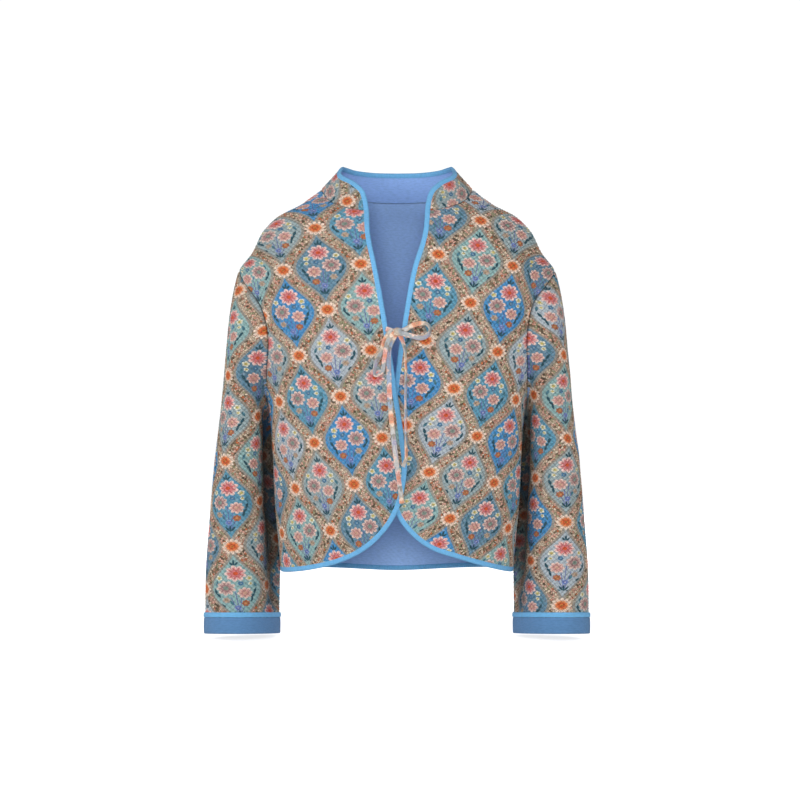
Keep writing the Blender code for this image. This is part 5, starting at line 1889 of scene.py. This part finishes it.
def stitch_tree():
    """Nodes that lay short rounded stitches along curves."""
    tree, graph, given, taken = new_group(
        "edge_stitches",
        {"Geometry": "geometry", "Pitch": "size", "Length": "size", "Radius": "size", "Thread": "material"},
        {"Geometry": "geometry"},
        "GeometryNodeTree",
    )
    spaced = graph.node("GeometryNodeResampleCurve", {"Curve": given["Geometry"]})
    spaced.mode = "LENGTH"
    graph.put(spaced.inputs["Length"], given["Pitch"])
    round_ball = {"Segments": STITCH_SIDES, "Rings": STITCH_RINGS, "Radius": 1.0}
    ball = graph.node("GeometryNodeMeshUVSphere", round_ball)
    half = graph.math("MULTIPLY", given["Length"], 0.5)
    size = graph.node("ShaderNodeCombineXYZ", {0: given["Radius"], 1: given["Radius"], 2: half})
    shaped = graph.node("GeometryNodeTransform", {"Geometry": ball.outputs["Mesh"], "Scale": size.outputs[0]})
    tangent = graph.node("GeometryNodeInputTangent")
    aim = graph.node("FunctionNodeAlignRotationToVector", {"Vector": tangent.outputs[0]}, axis="Z")
    placed = graph.node(
        "GeometryNodeInstanceOnPoints",
        {"Points": spaced.outputs[0], "Instance": shaped.outputs[0], "Rotation": aim.outputs[0]},
    )
    real = graph.node("GeometryNodeRealizeInstances", {"Geometry": placed.outputs[0]})
    thread = {"Geometry": real.outputs[0], "Material": given["Thread"]}
    graph.put(taken["Geometry"], graph.node("GeometryNodeSetMaterial", thread).outputs[0])
    return tree


def make_stitches(rows):
    """All the stitches as one plain mesh."""
    curve = bpy.data.curves.new("stitch_rows", "CURVE")
    curve.dimensions = "3D"
    for row in rows:
        spline = curve.splines.new("POLY")
        spline.points.add(len(row) - 1)
        spline.points.foreach_set("co", np.concatenate((row, np.ones((len(row), 1))), axis=1).ravel())
    guide = add_object("stitch_rows", curve)
    modifier = guide.modifiers.new("edge_stitches", "NODES")
    modifier.node_group = stitch_tree()
    values = {
        "Pitch": STITCH_PITCH, "Length": STITCH_LENGTH, "Radius": STITCH_RADIUS, "Thread": FINISH["thread"],
    }
    for item in modifier.node_group.interface.items_tree:
        if item.in_out == "INPUT" and item.name in values:
            modifier[item.identifier] = values[item.name]
    evaluated = guide.evaluated_get(bpy.context.evaluated_depsgraph_get())
    mesh = bpy.data.meshes.new_from_object(evaluated)
    mesh.shade_smooth()
    bpy.data.objects.remove(guide, do_unlink=True)
    piece = add_object("edge_stitches", mesh)
    settle(piece, "binding_cloth")
    return piece


# Floor and light


def make_floor():
    low = CAD_BOX[0][2] - FLOOR_DROP
    mesh = bpy.data.meshes.new("studio_floor")
    corners = ((-1, -1), (1, -1), (1, 1), (-1, 1))
    places = [(FLOOR_HALF_SIZE * x, FLOOR_HALF_SIZE * y, low) for x, y in corners]
    mesh.from_pydata(places, [], [(0, 1, 2, 3)])
    material, graph, shader = new_material("pale_floor", {
        "Base Color": FLOOR_COLOUR, "Roughness": 1.0, "Specular IOR Level": 0.0, "Emission Color": WHITE,
    })
    seen = graph.node("ShaderNodeLightPath").outputs["Is Camera Ray"]
    graph.put(shader.inputs["Emission Strength"], graph.math("MULTIPLY", seen, FLOOR_GLOW))
    mesh.materials.append(material)
    add_object("studio_floor", mesh)


def make_light():
    scene = bpy.context.scene
    scene.view_settings.view_transform = "Standard"
    world = bpy.data.worlds.new("soft_studio")
    world.use_nodes = True
    graph = Graph(world.node_tree)
    sky = world.node_tree.nodes["Background"]
    sky.inputs["Color"].default_value = WHITE
    seen = graph.node("ShaderNodeLightPath").outputs["Is Camera Ray"]
    graph.put(sky.inputs["Strength"], graph.choose(seen, SKY_STRENGTH, SKY_SEEN))
    scene.world = world
    for name, (place, size, power) in LAMPS.items():
        lamp = bpy.data.lights.new(name, "AREA")
        lamp.shape = "DISK"
        lamp.size = size
        lamp.energy = power
        made = add_object(name, lamp)
        made.location = place
        x, y, z = np.array(LAMP_AIM) - np.array(place)
        tilt = math.pi / 2 + math.atan2(z, math.hypot(x, y))
        made.rotation_euler = (tilt, 0, math.atan2(y, x) - math.pi / 2)


clear_light()
make_camera()
FINISH = make_finishes()
STITCH_ROWS = []

# Ties
knot = make_knot()
for tie_name, tie_route in (("left", TIE_LEFT), ("right", TIE_RIGHT)):
    tie_nodes = [f"tie_{part}_{tie_name}" for part in ("lead", "loop", "tail")]
    tie, tie_path = make_tie(f"tie_{tie_name}_strip", tie_route, tie_nodes)
    float(walked_lengths(tie_path)[-1])

# Body
hem_angle, hem_height = back_hem_edge()
hem_angle = np.concatenate((hem_angle, -math.pi - hem_angle[:-1][::-1]))
hem_height = np.concatenate((hem_height, hem_height[:-1][::-1]))
hem = torso_point(hem_angle, hem_height)
back_binding = make_binding("binding_back", hem, torso_normal(hem_angle, hem_height), 1)
back, back_size, back_area = make_panel("back", back_outline(), 0, False, PRINT_ON_BACK)
for side_name, side, layer in (("left", 1, -1), ("right", -1, 1)):
    angle, height, sewn = front_outline(side)
    outline = (side_angles(side, angle), height, sewn)
    front, size, area = make_panel("front_" + side_name, outline, layer, True, PRINT_ON_FRONT[side])
    angle, height = front_cut_edge(side)
    angle = side_angles(side, angle)
    edge = torso_point(angle, height, layer)
    binding = make_binding("binding_" + side_name, edge, torso_normal(angle, height, layer), side)
    sleeve, size, area = make_sleeve("sleeve_" + side_name, side)
    cuff, length, area = make_cuff_ring("cuff_" + side_name, side, cuff_section(), "cuff", "lining_cloth")
    trim, _, _ = make_cuff_ring(
        "cuff_binding_" + side_name, side, cuff_binding_section(), "binding", "binding_cloth"
    )
collar, size, area = make_collar()
grid, normals = collar_grid()
edge = np.concatenate((grid[:-1, 0], grid[-1], grid[:-1, -1][::-1]))
edge_normals = np.concatenate((normals[:-1, 0], normals[-1], normals[:-1, -1][::-1]))
collar_binding = make_binding("binding_collar", edge, edge_normals, -1)
stitches = make_stitches(STITCH_ROWS)

make_floor()
make_light()
